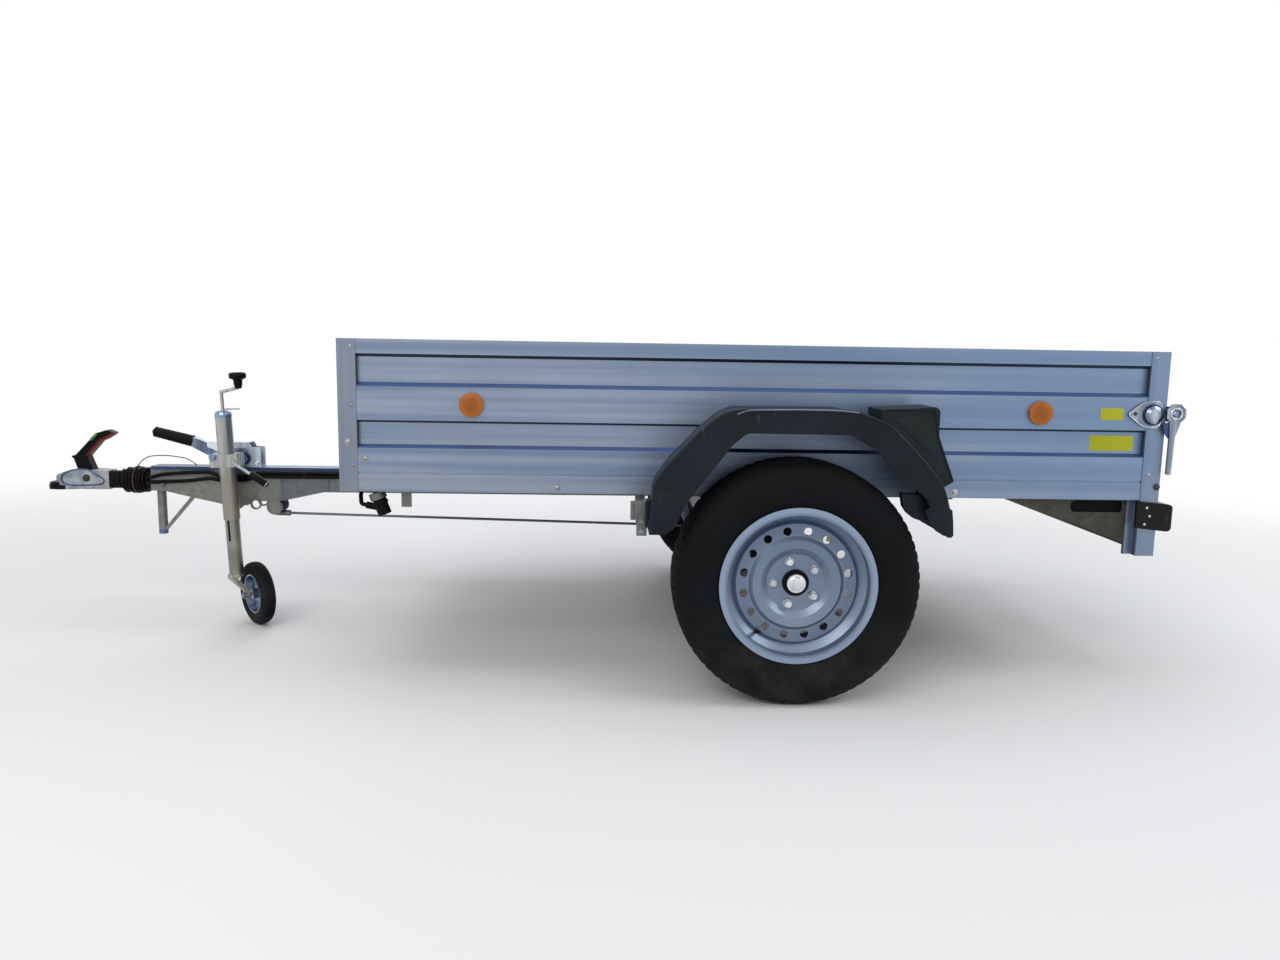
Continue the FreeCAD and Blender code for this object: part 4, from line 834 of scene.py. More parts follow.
def turned(rows, steps=32, closed=False, cut=None):
    """A (radius, along) profile in millimetres turned about local Z. cut(step, row) comes off a row's radius."""
    bm = bmesh.new()
    rings = []
    for row, (radius, along) in enumerate(rows):
        rings.append([])
        for step in range(steps if radius > 0 else 1):
            angle = 2 * math.pi * step / steps
            reach = (radius - (cut(step, row) if cut else 0)) * MM
            rings[-1].append(bm.verts.new((reach * math.cos(angle), reach * math.sin(angle), along * MM)))
    for first, second in zip(rings, rings[1:] + (rings[:1] if closed else [])):
        for step in range(steps):
            following = (step + 1) % steps
            around = ((first, step), (second, step), (second, following), (first, following))
            # A ring of one point, on the axis, gives the same corner twice
            corners = dict.fromkeys(ring[index % len(ring)] for ring, index in around)
            if len(corners) > 2:
                bm.faces.new(list(corners))
    return bm


def plate_mesh(outline, low, high, bevel=0.0):
    """A flat outline in local XY given thickness along Z, with bevelled edges, all in millimetres."""
    bm = bmesh.new()
    base = bm.faces.new([bm.verts.new((x * MM, y * MM, low * MM)) for x, y in outline])
    grown = bmesh.ops.extrude_face_region(bm, geom=[base])
    top = [item for item in grown["geom"] if isinstance(item, bmesh.types.BMVert)]
    bmesh.ops.translate(bm, verts=top, vec=(0, 0, (high - low) * MM))
    if bevel > 0:
        bmesh.ops.bevel(bm, geom=list(bm.edges), offset=bevel * MM, segments=2, affect="EDGES", profile=0.6)
    return bm


def side_plate(outline, low, high, bevel=0.0):
    """A flat outline in X and Z of the drawing, given thickness from y = low to y = high."""
    return copies_of(plate_mesh(outline, low, high, bevel), [ON_SIDE])


def side_plates(name, outline, inner, outer, bevel, material, slot, body="chassis", smooth_angle=30):
    """A plate on each side, between two distances from the middle."""
    pair = [side_plate(outline, inner, outer, bevel), side_plate(outline, -outer, -inner, bevel)]
    return new_piece(name, merged(pair), material, slot, body, smooth_angle)


def rounded_outline(width, height, radius, steps=5):
    """Corners of a rounded rectangle about the origin."""
    points = []
    for corner, (x_sign, y_sign) in enumerate(((1, 1), (-1, 1), (-1, -1), (1, -1))):
        for step in range(steps + 1):
            angle = math.pi / 2 * (corner + step / steps)
            points.append((
                x_sign * (width / 2 - radius) + radius * math.cos(angle),
                y_sign * (height / 2 - radius) + radius * math.sin(angle),
            ))
    return points


def ring_points(x, y, z, wide, high, count=10):
    """Places round an ellipse on the trailer's side."""
    angles = [2 * math.pi * index / count for index in range(count)]
    return [(x + wide * math.cos(angle), y, z + high * math.sin(angle)) for angle in angles]


def aimed(place, direction, spin=0.0):
    """A transform that puts local Z along a direction at a place."""
    turn = Vector(direction).to_track_quat("Z", "Y").to_matrix().to_4x4()
    return Matrix.Translation(place) @ turn @ Matrix.Rotation(spin, 4, "Z")


def upright(place, outward):
    """A transform that puts local Z along outward and local Y up."""
    out = Vector(outward).normalized()
    right = Vector((0, 0, 1)).cross(out).normalized()
    turn = Matrix((right, out.cross(right), out)).transposed().to_4x4()
    return Matrix.Translation(place) @ turn


def mirrored(transforms):
    """The same places on the right side of the trailer too."""
    mirror = Matrix.Diagonal((1, -1, 1, 1))
    return list(transforms) + [mirror @ transform for transform in transforms]


def both_sides(points, direction=OUT, spin=0.0, spin_step=0.0):
    """Transforms at the left side's points, in the drawing's millimetres, and at the right side's."""
    return mirrored([aimed(at(*point), direction, spin + spin_step * index) for index, point in enumerate(points)])

# %% [markdown]
# The road tyre replaces its plain solid. Its section is drawn once as (radius, distance from the middle):
# a bead that tucks behind the rim's flange, a bulged sidewall with a thin ridge, a shoulder, and a tread
# with four grooves. Turning the section step by step lets the outer rows be pushed in at regular angles,
# which cuts the blocks apart. The solid's own box gives the radius and the width.

# %% Road tyres
TYRE_STEPS = 288
BLOCK_STEPS = 4
RIM_FLANGE = 195
MIDDLE_CUT = 2.4
# Rows from the bead to the tread's middle, in millimetres. Side wall: out from the rim's flange, in from the side
SIDE_WALL = ((-14, 19), (1, 18.5), (5, 14), (9, 12), (11, 10), (14, 7.5), (22, 3.5), (34, 0.8), (46, 0.2), (48, 0),
             (50, 0.2), (66, 2.2), (68, 1.7), (70, 2.8))
# Shoulder and tread: in from the tyre's radius, in from the side, depth of the cuts between blocks
TREAD = ((30, 5.5, 0), (22, 9, 1.4), (14, 15, 1.4), (7, 23, 1.4), (3, 32, 4), (1.6, 42, 4), (8.6, 43, 0), (8.2, 50, 0),
         (1.2, 51, MIDDLE_CUT), (0.5, 68, MIDDLE_CUT), (7.5, 69, 0), (7.4, 77, 0), (0.3, 78, 0), (0, 92.9, 0))
half_rows = [(RIM_FLANGE + out, TYRE_HALF - inward, 0) for out, inward in SIDE_WALL]
half_rows += [(TYRE_RADIUS - below, TYRE_HALF - inward, depth) for below, inward, depth in TREAD]
TYRE_ROWS = half_rows + [(radius, -side, depth) for radius, side, depth in reversed(half_rows)]


def tread_cut(step, row):
    """Depth of a cut. Blocks on the two halves are set off against each other, and the cuts between them lean."""
    radius, side, depth = TYRE_ROWS[row]
    phase = (step + (2 if side < 0 else 0) + round(abs(side) / 30)) % BLOCK_STEPS
    left_out = depth == MIDDLE_CUT and (step // BLOCK_STEPS) % 2
    return 0 if phase or left_out else depth


for side_name, side_sign in SIDES:
    bm = turned([row[:2] for row in TYRE_ROWS], TYRE_STEPS, True, tread_cut)
    wheel = Matrix.Translation(at(0, side_sign * AXLE.y, AXLE.z)) @ Matrix.Rotation(-math.pi / 2, 4, "X")
    tyre = new_piece(f"road_tyre_{side_name}", copies_of(bm, [wheel]), "tyre_rubber", "tyre_rubber",
                     f"wheel_{side_name}", 28)
    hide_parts(f"wheel_tyre_{side_name}")
    print(tyre.name, "faces", len(tyre.data.polygons))

# %% [markdown]
# Everything small on a road wheel comes from one table of turned profiles and their places: five bolt
# heads with their washers, the dust cap in its black ring, and the rubber valve with its cap. A bolt head
# is a six-sided prism with its corners turned off, on a round flange.

# %% Wheel bolts, cap and valve
BOLT_CIRCLE = 56
BOLT_COUNT = 5
DISC_FACE = 36
HUB_OUT = 35
RIM_LABEL_OUT = 35
VALVE_CIRCLE, VALVE_ANGLE, VALVE_OUT, VALVE_LEAN = 160, 307, 30, 0.35
# Blank labels on the rim: distance from the axis, angle from the front, tilt
RIM_LABELS = ((146, 28, 10), (141, 128, -14))
HUB_RING = ((24, 0), (33.2, 0), (33.2, 5), (31, 7.5), (27, 8), (24, 5))
DUST_CAP = ((24.4, 0), (24.4, 13), (23, 15.5), (19.5, 16.6), (18, 16.2), (16, 17.6), (9, 18.6), (0, 19.0))
VALVE = ((0, -4), (7.5, -4), (8, 0), (5.5, 3), (4, 14), (3.6, 24), (4.6, 24.5), (4.6, 33), (3.6, 35), (0, 35))


def bolt_head(across, height, flange, dish=0.0):
    """A hexagon head on a round flange, its top edge turned off."""
    washer = ((0, 0), (flange, 0), (flange, 0.15 * height), (0.88 * flange, 0.3 * height), (0, 0.3 * height))
    corner = 0.5 * across
    head = ((1.12 * corner, 0.2 * height), (1.12 * corner, 0.85 * height), (0.95 * corner, height),
            (0.62 * corner, height), (0.55 * corner, height - dish), (0, height - dish))
    return merged([turned(washer, 24), turned(head, 6)])


def wheel_place(side_sign, radius, angle, out):
    """A point on the wheel's face: angle in degrees from the front, up positive."""
    turn = math.radians(angle)
    return at(radius * math.cos(turn), side_sign * (AXLE.y + out), AXLE.z + radius * math.sin(turn))


for side_name, side_sign in SIDES:
    outward = (0, side_sign, 0)
    bolts = [aimed(wheel_place(side_sign, BOLT_CIRCLE, 360 * index / BOLT_COUNT, DISC_FACE - 2), outward, index)
             for index in range(BOLT_COUNT)]
    hub = [aimed(wheel_place(side_sign, 0, 0, HUB_OUT), outward)]
    valve_turn = math.radians(VALVE_ANGLE)
    lean = (-VALVE_LEAN * math.cos(valve_turn), side_sign, -VALVE_LEAN * math.sin(valve_turn))
    valve = [aimed(wheel_place(side_sign, VALVE_CIRCLE, VALVE_ANGLE, VALVE_OUT), lean)]
    notes = [upright(wheel_place(side_sign, radius, angle, RIM_LABEL_OUT), outward)
             @ Matrix.Rotation(math.radians(tilt), 4, "Z") for radius, angle, tilt in RIM_LABELS]
    note = plate_mesh(rounded_outline(28, 19, 2), 0, 0.4)
    body = f"wheel_{side_name}"
    new_pieces(
        (f"wheel_bolts_{side_name}", bolt_head(19, 13, 12.5, 2), bolts, "bright_steel", "rim_silver", body, 25),
        (f"hub_ring_{side_name}", turned(HUB_RING, 48, True), hub, "grip_plastic", "drum_iron", body),
        (f"dust_cap_{side_name}", turned(DUST_CAP, 48), hub, "bright_steel", "drum_iron", body),
        (f"valve_{side_name}", turned(VALVE, 20), valve, "soft_rubber", "drum_iron", body),
        (f"rim_labels_{side_name}", note, notes, "beige_label", "rim_silver", body),
    )
print("wheel fittings done")

# %% [markdown]
# The sheet-metal box is held together by blind rivets and a few round-headed bolts. A rivet is a shallow
# dome with a dimple where its pin broke off. One pattern is copied to every place on both sides.

# %% Rivets and bolts of the box
# Rivets: distance behind the front post's face or before the rear post's face, drop below the box's top
FRONT_RIVETS = ((34, 19), (34, 167), (34, 321))
REAR_RIVETS = ((37, 17), (31, 320), (25, 524))
RIVET = ((5, 0), (4.9, 0.55), (4, 1.65), (2.25, 2.2), (1.5, 1.98), (1.25, 0.99), (0, 0.88))
# Round-headed bolts: distance from the rear face of the box, drop below its top, face that they lie on
ROUND_BOLTS = ((2115, 261, POST_FACE), (2073, 304, PANEL_FACE), (1584, 374, PANEL_FACE), (545, 374, PANEL_FACE))
ROUND_BOLT = ((9, 0), (9, 0.8), (7, 0.9), (6.6, 2.4), (4.6, 3.8), (0, 4.3))

rivet_points = [(front_post_high.x - back, POST_FACE, BOX_TOP - drop) for back, drop in FRONT_RIVETS]
rivet_points += [(BOX_REAR + ahead, POST_FACE, BOX_TOP - drop) for ahead, drop in REAR_RIVETS]
bolt_points = [(BOX_REAR + ahead, face, BOX_TOP - drop) for ahead, drop, face in ROUND_BOLTS]
lower_points = [(BOX_REAR + 8, POST_FACE, BOX_TOP - 353)]
new_pieces(
    ("post_rivets", turned(RIVET, 20), both_sides(rivet_points), "plated_steel", "side_aluminium"),
    ("panel_bolts", turned(ROUND_BOLT, 24), both_sides(bolt_points), "plated_steel", "side_aluminium"),
    ("lower_post_bolts", bolt_head(13, 6, 9), both_sides(lower_points), "black_drum_paint", "side_aluminium"),
)
print("rivets and bolts on the posts")

# %% [markdown]
# The yellow notices stay where they are, but blank: thin film with rounded corners, printed with nothing.

# %% Blank labels
# Each label: distance of its middle from the box's rear, drop below the top, width, height, depth in the panel
LABELS = ((142, 163, 61, 31, 0), (133, 240, 117, 40, 10))
for number, (ahead, drop, width, height, depth) in enumerate(LABELS, 1):
    film = plate_mesh(rounded_outline(width, height, 3), 0, 0.3)
    middle = aimed(at(BOX_REAR + ahead, PANEL_FACE - depth, BOX_TOP - drop), OUT)
    new_piece(f"yellow_label_{number}", copies_of(film, [middle]), "yellow_label", "side_aluminium")
print("labels:", len(LABELS))

# %% [markdown]
# Each reflector is a moulded lens in a thin rim. The solid gives the disc, and over it comes a shallow
# crowned lens with a stepped edge, in the same amber.

# %% Reflector lenses
refl_low, refl_high = span("reflectors")
REFLECTOR_RADIUS = (refl_high.z - refl_low.z) / 2
lens_profile = [
    (REFLECTOR_RADIUS, -4), (REFLECTOR_RADIUS, 0.4), (REFLECTOR_RADIUS - 1.2, 1.2), (REFLECTOR_RADIUS - 3, 1.2),
    (REFLECTOR_RADIUS - 3.6, 0.5), (0.8 * REFLECTOR_RADIUS, 1.4), (0.5 * REFLECTOR_RADIUS, 2.1), (0, 2.5),
]
reflector_points = [
    (x, refl_high.y, (refl_low.z + refl_high.z) / 2)
    for x in (refl_low.x + REFLECTOR_RADIUS, refl_high.x - REFLECTOR_RADIUS)
]
lenses = copies_of(turned(lens_profile, 48), both_sides(reflector_points))
new_piece("reflector_lenses", lenses, "amber_prisms", "amber_lens")
print("reflector radius", round(REFLECTOR_RADIUS, 1), "mm")

# %% [markdown]
# Between the drawbar and the coupling head sits a rubber bellows, and the lead is wound round its rear half.
# The bellows is turned from a section with real folds. The winding is one round wire on a helix whose turns
# differ a little in size and lean, as turns by hand do, with one turn of the brown safety cable over them.

# %% Bellows and winding
bellows_low, bellows_high = span("coupling_bellows")
BELLOWS_MIDDLE = (bellows_low.z + bellows_high.z) / 2
FOLD_COUNT = 7
FOLD = ((23.6, 3), (23.2, 5), (26.6, 8), (27.8, 10), (27.2, 12))
LEAD_RADIUS = 5.5
TURN_SIZES = (33.6, 34.4, 36.4, 34.2, 36.8, 34.0, 35.2)
TURN_LEANS = (0.0, 1.2, -1.6, 1.8, -1.0, 1.4, -0.6)
BAND_WIDE, BAND_HIGH, BAND_ALONG = 41.5, 42, 40
POINTS_PER_TURN = 14

bellows_rows = [(14, 0), (27.4, 0), (28, 1), (28, 10), (27.4, 12)]
bellows_rows += [(radius, 12 * (fold + 1) + along) for fold in range(FOLD_COUNT) for radius, along in FOLD]
bellows_rows += [(26, 98), (28, 99.5), (28, 111), (26.8, 112), (26.8, 115), (28, 116), (28, 129), (26.5, 131),
                 (14, 131)]
sleeve = aimed(at(bellows_low.x, 0, BELLOWS_MIDDLE), (1, 0, 0))
bellows = new_piece("folded_bellows", copies_of(turned(bellows_rows, 56), [sleeve]),
                    "soft_rubber", "bellows_rubber", smooth_angle=40)
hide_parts("coupling_bellows")

winding_low, winding_high = span("lead_winding")


def winding_point(index):
    turn = index / POINTS_PER_TURN
    size = TURN_SIZES[index // POINTS_PER_TURN]
    angle = 2 * math.pi * turn + math.pi / 2
    sag = 1.6 * max(0.0, -math.sin(angle))
    room = winding_high.x - winding_low.x - 2.2 * LEAD_RADIUS
    along = winding_low.x + 1.1 * LEAD_RADIUS + room * turn / len(TURN_SIZES)
    along += TURN_LEANS[index // POINTS_PER_TURN] * math.cos(angle)
    return at(along, size * math.cos(angle), BELLOWS_MIDDLE + (size + sag) * math.sin(angle))


winding_points = [winding_point(index) for index in range(len(TURN_SIZES) * POINTS_PER_TURN)]
winding = wire("wound_lead", winding_points, LEAD_RADIUS, "cable_jacket", "bellows_rubber")
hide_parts("lead_winding")
band_angles = [index / 7 * math.pi for index in range(14)]
band = [
    at(winding_low.x + BAND_ALONG, BAND_WIDE * math.cos(angle), BELLOWS_MIDDLE + BAND_HIGH * math.sin(angle))
    for angle in band_angles
]
wire("safety_cable_turn", band, 2.6, "brown_jacket", "bellows_rubber", closed=True)
print("bellows and winding of", len(TURN_SIZES), "turns")

# %% [markdown]
# The coupling head is a plated casting. What the solid leaves out is the black cover of its nose pad, the pressed edge
# on each side, coloured dark navy as painted shade, the dark bolt in its side with a washer, and the marks on the
# handle: a red insert along the rear edge and a short green strip that shows above it.

# %% Coupling head
head_low, head_high = span("coupling_head")
HEAD_NOSE = head_high.x
HEAD_HALF = head_high.y
HEAD_BOTTOM = head_low.z
SHANK_HALF = 26
PAD_CORNER = 27


def pad_outline(inset, from_x):
    """Half-round outline of the nose pad, behind from_x cut off."""
    half = HEAD_HALF - 1.4 - inset
    front = HEAD_NOSE + 1.2 - inset
    corner = PAD_CORNER - inset
    points = [(from_x, half)]
    for step in range(9):
        angle = math.pi / 2 * (1 - step / 8)
        points.append((front - corner + corner * math.cos(angle), half - corner + corner * math.sin(angle)))
    return points + [(x, -y) for x, y in reversed(points)]


def pad_cover():
    """A skirt round the nose pad with an apron below it, filled in front of the ball's socket."""
    skirt = pad_outline(0, HEAD_NOSE - 46) + pad_outline(2.6, HEAD_NOSE - 46)[::-1]
    front = pad_outline(0.2, HEAD_NOSE - 26)
    apron = pad_outline(-2.4, HEAD_NOSE - 57) + pad_outline(0.2, HEAD_NOSE - 57)[::-1]
    parts = [
        plate_mesh(outline, HEAD_BOTTOM + low, HEAD_BOTTOM + high, bevel)
        for outline, low, high, bevel in ((apron, -0.7, 12.5, 0.4), (skirt, -0.5, 20, 0.3), (front, -0.9, 20.6, 0.8))
    ]
    return copies_of(merged(parts), [Matrix.Translation(ORIGIN)])


SIDE_BOLT = ((11.5, -1.5), (11.5, 0.6), (10.6, 1.2), (8.2, 1.2), (7.8, 3.2), (6.4, 4.2), (0, 4.4))
INSERT = ((2090, 518), (2084, 513.5), (2043, 560), (2023, 569), (2004, 582), (1999, 587), (2006, 587.5), (2027, 575),
          (2048, 565))
MARK = ((2072, 561), (2052, 581), (2056, 586.5), (2076, 567))
new_piece("nose_pad_cover", pad_cover(), "grip_plastic", "black_plastic")
new_pieces(("head_side_bolts", turned(SIDE_BOLT, 28), both_sides([(2087, 26, 446)]), "black_drum_paint", "drum_iron"))
new_piece("handle_insert", side_plate(INSERT, -15.5, 15.5, 0.8), "orange_plastic", "amber_lens", smooth_angle=30)
new_piece("handle_mark", side_plate(MARK, -15.4, 15.4, 0.6), "green_mark", "amber_lens", smooth_angle=30)


def head_side(x):
    """Half width of the head's body at X: the shank, then the swelling over the ball."""
    share = min(1.0, max(0.0, (x - (HEAD_NOSE - 106)) / 30))
    return SHANK_HALF + (HEAD_HALF - SHANK_HALF) * share * share * (3 - 2 * share)


# The pressed edge on the head's side: X and Z, all the way round
PRESSED_EDGE = ((2160, 449), (2148, 462), (2130, 470), (2104, 475), (2080, 473), (2064, 463), (2050, 452), (2036, 446),
                (2032, 435), (2040, 427), (2070, 424), (2104, 423), (2136, 424), (2156, 430))
edge = [(x, head_side(x), z) for x, z in PRESSED_EDGE]
# The pressed edge is dark navy: painted shade
side_wires(("head_edge", edge, 2.4, "dark_casting_edge", "coupling_cast", "chassis", True))
print("coupling head dressed")

# %% [markdown]
# The handbrake's left side has a coil spring round its pivot bolt, hexagon bolts where the housing meets the
# drawbar, and a grip with shallow rings and a push button. The spring is a wire on a short helix.

# %% Handbrake
PIVOT_X, PIVOT_Y, PIVOT_Z = 1599, 24, 515
SPRING_RADIUS, SPRING_PITCH, SPRING_TURNS, SPRING_STEPS = 19.4, 3.2, 4, 12
SIDE_SHADE = ((1640, 493), (1588, 493), (1588, 540), (1594, 546), (1634, 546), (1640, 540))
GRIP_FOOT, GRIP_END = at(1766, 0, 563), at(1879, 0, 591)
GRIP_RINGS, RING_PITCH = 9, 10.5
GRIP_TIP = ((15.8, -5), (16.6, -3), (16.2, 1), (13, 3), (8, 3.4), (6, 8), (0, 8.6))

spring = []
for index in range(SPRING_TURNS * SPRING_STEPS + 1):
    turn = index / SPRING_STEPS
    angle = 2 * math.pi * turn
    spring.append(at(
        PIVOT_X + SPRING_RADIUS * math.cos(angle), PIVOT_Y + 2 + SPRING_PITCH * turn,
        PIVOT_Z + SPRING_RADIUS * math.sin(angle)))
# The spring is dark navy: painted shade
wire("pivot_spring", spring, 1.4, "dark_casting_edge", "zinc_plate")
grip_length = (GRIP_END - GRIP_FOOT).length / MM
grip_rows = [(12, -2), (18.2, -2), (18.4, 3), (17.4, 5)]
for ring in range(GRIP_RINGS):
    along = 12 + ring * RING_PITCH
    swell = 17.6 - 2.0 * along / grip_length
    grip_rows += [(swell, along), (swell + 0.5, along + 3), (swell + 0.5, along + 6), (swell, along + 8.6)]
grip_rows += [(radius, grip_length + past) for radius, past in GRIP_TIP]
pivot_nut = [aimed(at(PIVOT_X, PIVOT_Y + 16, PIVOT_Z), OUT, 0.3)]
housing_bolts = both_sides([(1562, 24, 500), (1634, 24, 500)], spin=0.4)
grip = [aimed(GRIP_FOOT, GRIP_END - GRIP_FOOT)]
new_pieces(("pivot_nut", bolt_head(19, 8, 14, 1.5), pivot_nut, "blue_plated_steel", "zinc_plate", "chassis", 25))
# A dark plate on the housing's left side round the pivot: painted shade
new_piece("housing_shade_plate", side_plate(SIDE_SHADE, 23.8, 25.4, 0.4), "dark_lever_plate", "zinc_plate",
          smooth_angle=30)
new_pieces(
    ("housing_bolts", bolt_head(13, 7, 9.5), housing_bolts, "bright_steel", "zinc_plate", "chassis", 25),
    ("grip_sleeve", turned(grip_rows, 40), grip, "grip_plastic", "black_plastic", "chassis", 50),
)
print("handbrake dressed")

# %% [markdown]
# The jockey wheel's solids already lean with the tube, so its small pieces are placed in the tube's own
# frame: a transform that leans by the same angle about the clamp. The knob and the clamp's grip are black
# plastic over steel, the cap is a pressed dome, and the small tyre replaces its plain solid.

# %% Jockey wheel
ON_JOCKEY = Matrix.Translation(JOCKEY_PIVOT) @ Matrix.Rotation(JOCKEY_LEAN, 4, "Y")
FORK_TURN = Matrix.Rotation(math.radians(132), 4, "Z")
CAP_TOP = 149
FORK_NUT_IN = 41
CAP = ((24.0, -19), (24.9, -19), (24.9, -12), (24.2, -9.5), (21.9, -3.2), (18, -0.6), (12, 0.8), (6.2, 1.1),
       (5.2, 3.5), (0, 3.5))
KNOB = ((0, -1), (8.8, -1), (10, 2), (12.4, 12), (13, 25), (20.5, 28.4), (24.2, 31), (25, 34), (24.9, 41), (23.4, 45),
        (20, 47.2), (14, 48), (0, 48.2))
SMALL_TYRE = [(61, -17), (64, -19.5), (70, -21.4), (78, -22), (80, -21.6), (86, -20.6), (92, -17.6), (95.6, -13),
              (97.2, -8.6), (95.8, -8.2), (95.8, -6.4), (97.6, -6), (98, -1.3), (96.6, -0.9)]
SMALL_TYRE += [(radius, -side) for radius, side in reversed(SMALL_TYRE)]


def on_tube(place, direction=(0, 0, 1), spin=0.0):
    """A transform from a place in the leaning tube's frame, in millimetres from the clamp."""
    return ON_JOCKEY @ aimed(Vector(place) * MM, direction, spin)


grip_from, grip_to = Vector((-80, 38, -40.5)), Vector((-129, 38, -76.5))
reach = (grip_to - grip_from).length
bar_rows = ((5.4, 0), (9.4, 0.6), (10.8, 4), (10.9, 0.5 * reach), (10.8, reach - 7), (9.4, reach - 2.5),
            (6, reach - 0.4), (0, reach))
knob, grip = on_tube((-52, 0, CAP_TOP + 67)), on_tube(grip_from, grip_to - grip_from)
clamp_bolt = on_tube((30, 31, 12), OUT, 0.2)
new_pieces(
    ("tube_cap", turned(CAP, 48), [on_tube((0, 0, CAP_TOP))], "blue_plated_steel", "zinc_plate"),
    ("crank_knob", turned(KNOB, 40), [knob], "grip_plastic", "black_plastic"),
    ("clamp_grip", turned(bar_rows, 32), [grip], "grip_plastic", "black_plastic"),
    ("clamp_bolt", bolt_head(17, 9, 12), [clamp_bolt], "blue_plated_steel", "zinc_plate", "chassis", 25),
)

small_low, small_high = span("jockey_tyre")
SMALL_WHEEL = at(*(small_low + small_high) / 2)
small_axis = ((ON_JOCKEY @ FORK_TURN).to_3x3() @ Vector(OUT)).normalized()
small_tyre = new_piece(
    "jockey_road_tyre", copies_of(turned(SMALL_TYRE, 72, True), [aimed(SMALL_WHEEL, small_axis)]),
    "tyre_rubber", "tyre_rubber", "jockey_wheel", 30,
)
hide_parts("jockey_tyre")
fork_nut = [aimed(SMALL_WHEEL - small_axis * FORK_NUT_IN * MM, -small_axis)]
new_pieces(("fork_nut", bolt_head(17, 7, 11.5, 1), fork_nut, "blue_plated_steel", "zinc_plate", "jockey_swivel", 25))
print("jockey wheel at", tuple(round(v, 3) for v in SMALL_WHEEL))

# %% [markdown]
# The mudguard is moulded with a rolled bead along its outer edge, and below the roof's edge a fine ridge in pale
# plastic is a painted highlight, the thin line of light along the edge. The bead follows the roof's corners: two
# points a little before and after each corner make a NURBS line round it. The chock has a border of the same kind and
# a raised panel on its cheeks.

# %% Beads of mudguard and chock
# Direction from the wheel's axis in degrees and distance outside the tyre
GUARD_ROOF = (
    (19.8, 83), (34.2, 130), (41, 136), (57, 151), (65, 161), (70, 152), (105, 139), (117, 141), (141, 117),
    (150, 99), (159.8, 76),
)
CHOCK_EDGE = ((115, 172), (126.4, 237), (131.9, 190), (144.8, 151))
CHOCK_CHEEK = ((117.5, 158), (125.8, 214), (131, 176), (137.2, 150), (127, 146))
GUARD_FACE = 798
CHOCK_FACE = 749
# A fine ridge below the roof's edge, pale as a painted highlight, X and Z
HIGHLIGHT_RIDGE_LINE = ((166, 727), (150, 735), (120, 738), (0, 740), (-90, 739), (-122, 734))
# The front stay ends in a folded plate in front of the mudguard's foot, and the feet end in rounded lobes
STAY_PLATE = ((412, 507), (372, 507), (372, 460), (412, 460))
STAY_FOLD = ((408, 507), (404, 507), (404, 460), (408, 460))
STAY_FLAP = ((376, 513), (366, 513), (366, 447), (376, 447))
REAR_FOOT = ((-292, 503), (-302, 481), (-310, 467), (-323, 452), (-340, 442), (-356, 438), (-364, 441), (-362, 474),
             (-358, 504), (-329, 523))
REAR_LOBE = ((-242, 538), (-249, 506), (-260, 490), (-277, 477), (-296, 471), (-312, 474), (-321, 486), (-298, 538))
FRONT_FOOT = ((373, 453), (362, 443), (346, 439), (329, 440), (311, 451), (301, 469), (286, 502), (266, 537),
              (290, 543), (354, 542))


def round_tyre(rows, inset=0):
    """Places beside the tyre's tread in X and Z."""
    places = []
    for direction, distance in rows:
        angle = math.radians(direction)
        reach = TYRE_RADIUS + distance - inset
        places.append(Vector((reach * math.cos(angle), TYRE_RADIUS + reach * math.sin(angle))))
    return places


def eased(places, ease):
    """Two places for each inner corner, a little before and after it."""
    line = [places[0]]
    for before, corner, after in zip(places, places[1:], places[2:]):
        for neighbour in (before, after):
            step = neighbour - corner
            line.append(corner + step.normalized() * min(ease, 0.35 * step.length))
    return line + [places[-1]]


def on_face(places, y):
    return [(x, y, z) for x, z in places]


bead = on_face(eased(round_tyre(GUARD_ROOF, 2.5), 16), GUARD_FACE - 3)
border = on_face(eased(round_tyre(CHOCK_EDGE, 3), 6), CHOCK_FACE - 1)
side_wires(
    ("guard_bead", bead, 4.5, "rolled_bead_plastic", "black_plastic"),
    # The ridge is pale: a painted highlight
    ("guard_ridge", on_face(HIGHLIGHT_RIDGE_LINE, GUARD_FACE + 0.4), 1.5, "lit_ridge_plastic", "black_plastic"),
    ("chock_border", border, 3.2, "mudguard_plastic", "chock_plastic"),
)
side_plates("chock_cheeks", round_tyre(CHOCK_CHEEK), CHOCK_FACE - 0.5, CHOCK_FACE + 1.6, 0.7,
            "chock_plastic", "chock_plastic")
for name, outline, inner, outer, material, slot in (
    ("stay_plates", STAY_PLATE, 724, 727, "galvanised_steel", "galvanised_steel"),
    ("stay_folds", STAY_FOLD, 726, 731, "galvanised_steel", "galvanised_steel"),
    ("guard_feet_rear", REAR_FOOT, 788, 798.6, "mudguard_plastic", "black_plastic"),
    ("guard_lobes_rear", REAR_LOBE, 744, 766, "mudguard_plastic", "black_plastic"),
    ("guard_feet_front", FRONT_FOOT, 788, 798.6, "mudguard_plastic", "black_plastic"),
    ("guard_flaps", STAY_FLAP, 722, 760, "mudguard_plastic", "black_plastic"),
):
    side_plates(name, outline, inner, outer, 0.5, material, slot)
print("beads on both sides")

# %% [markdown]
# Each latch is an over-centre fastener: a leaf-shaped plate with a bright dome on the side wall, and a ring
# with its hanging lever on the tailgate. Its edges are rounded by thin wires, its screws are dark, and the
# tongue of its spring shows below the ring. What hangs on the tailgate rides on the tailgate.

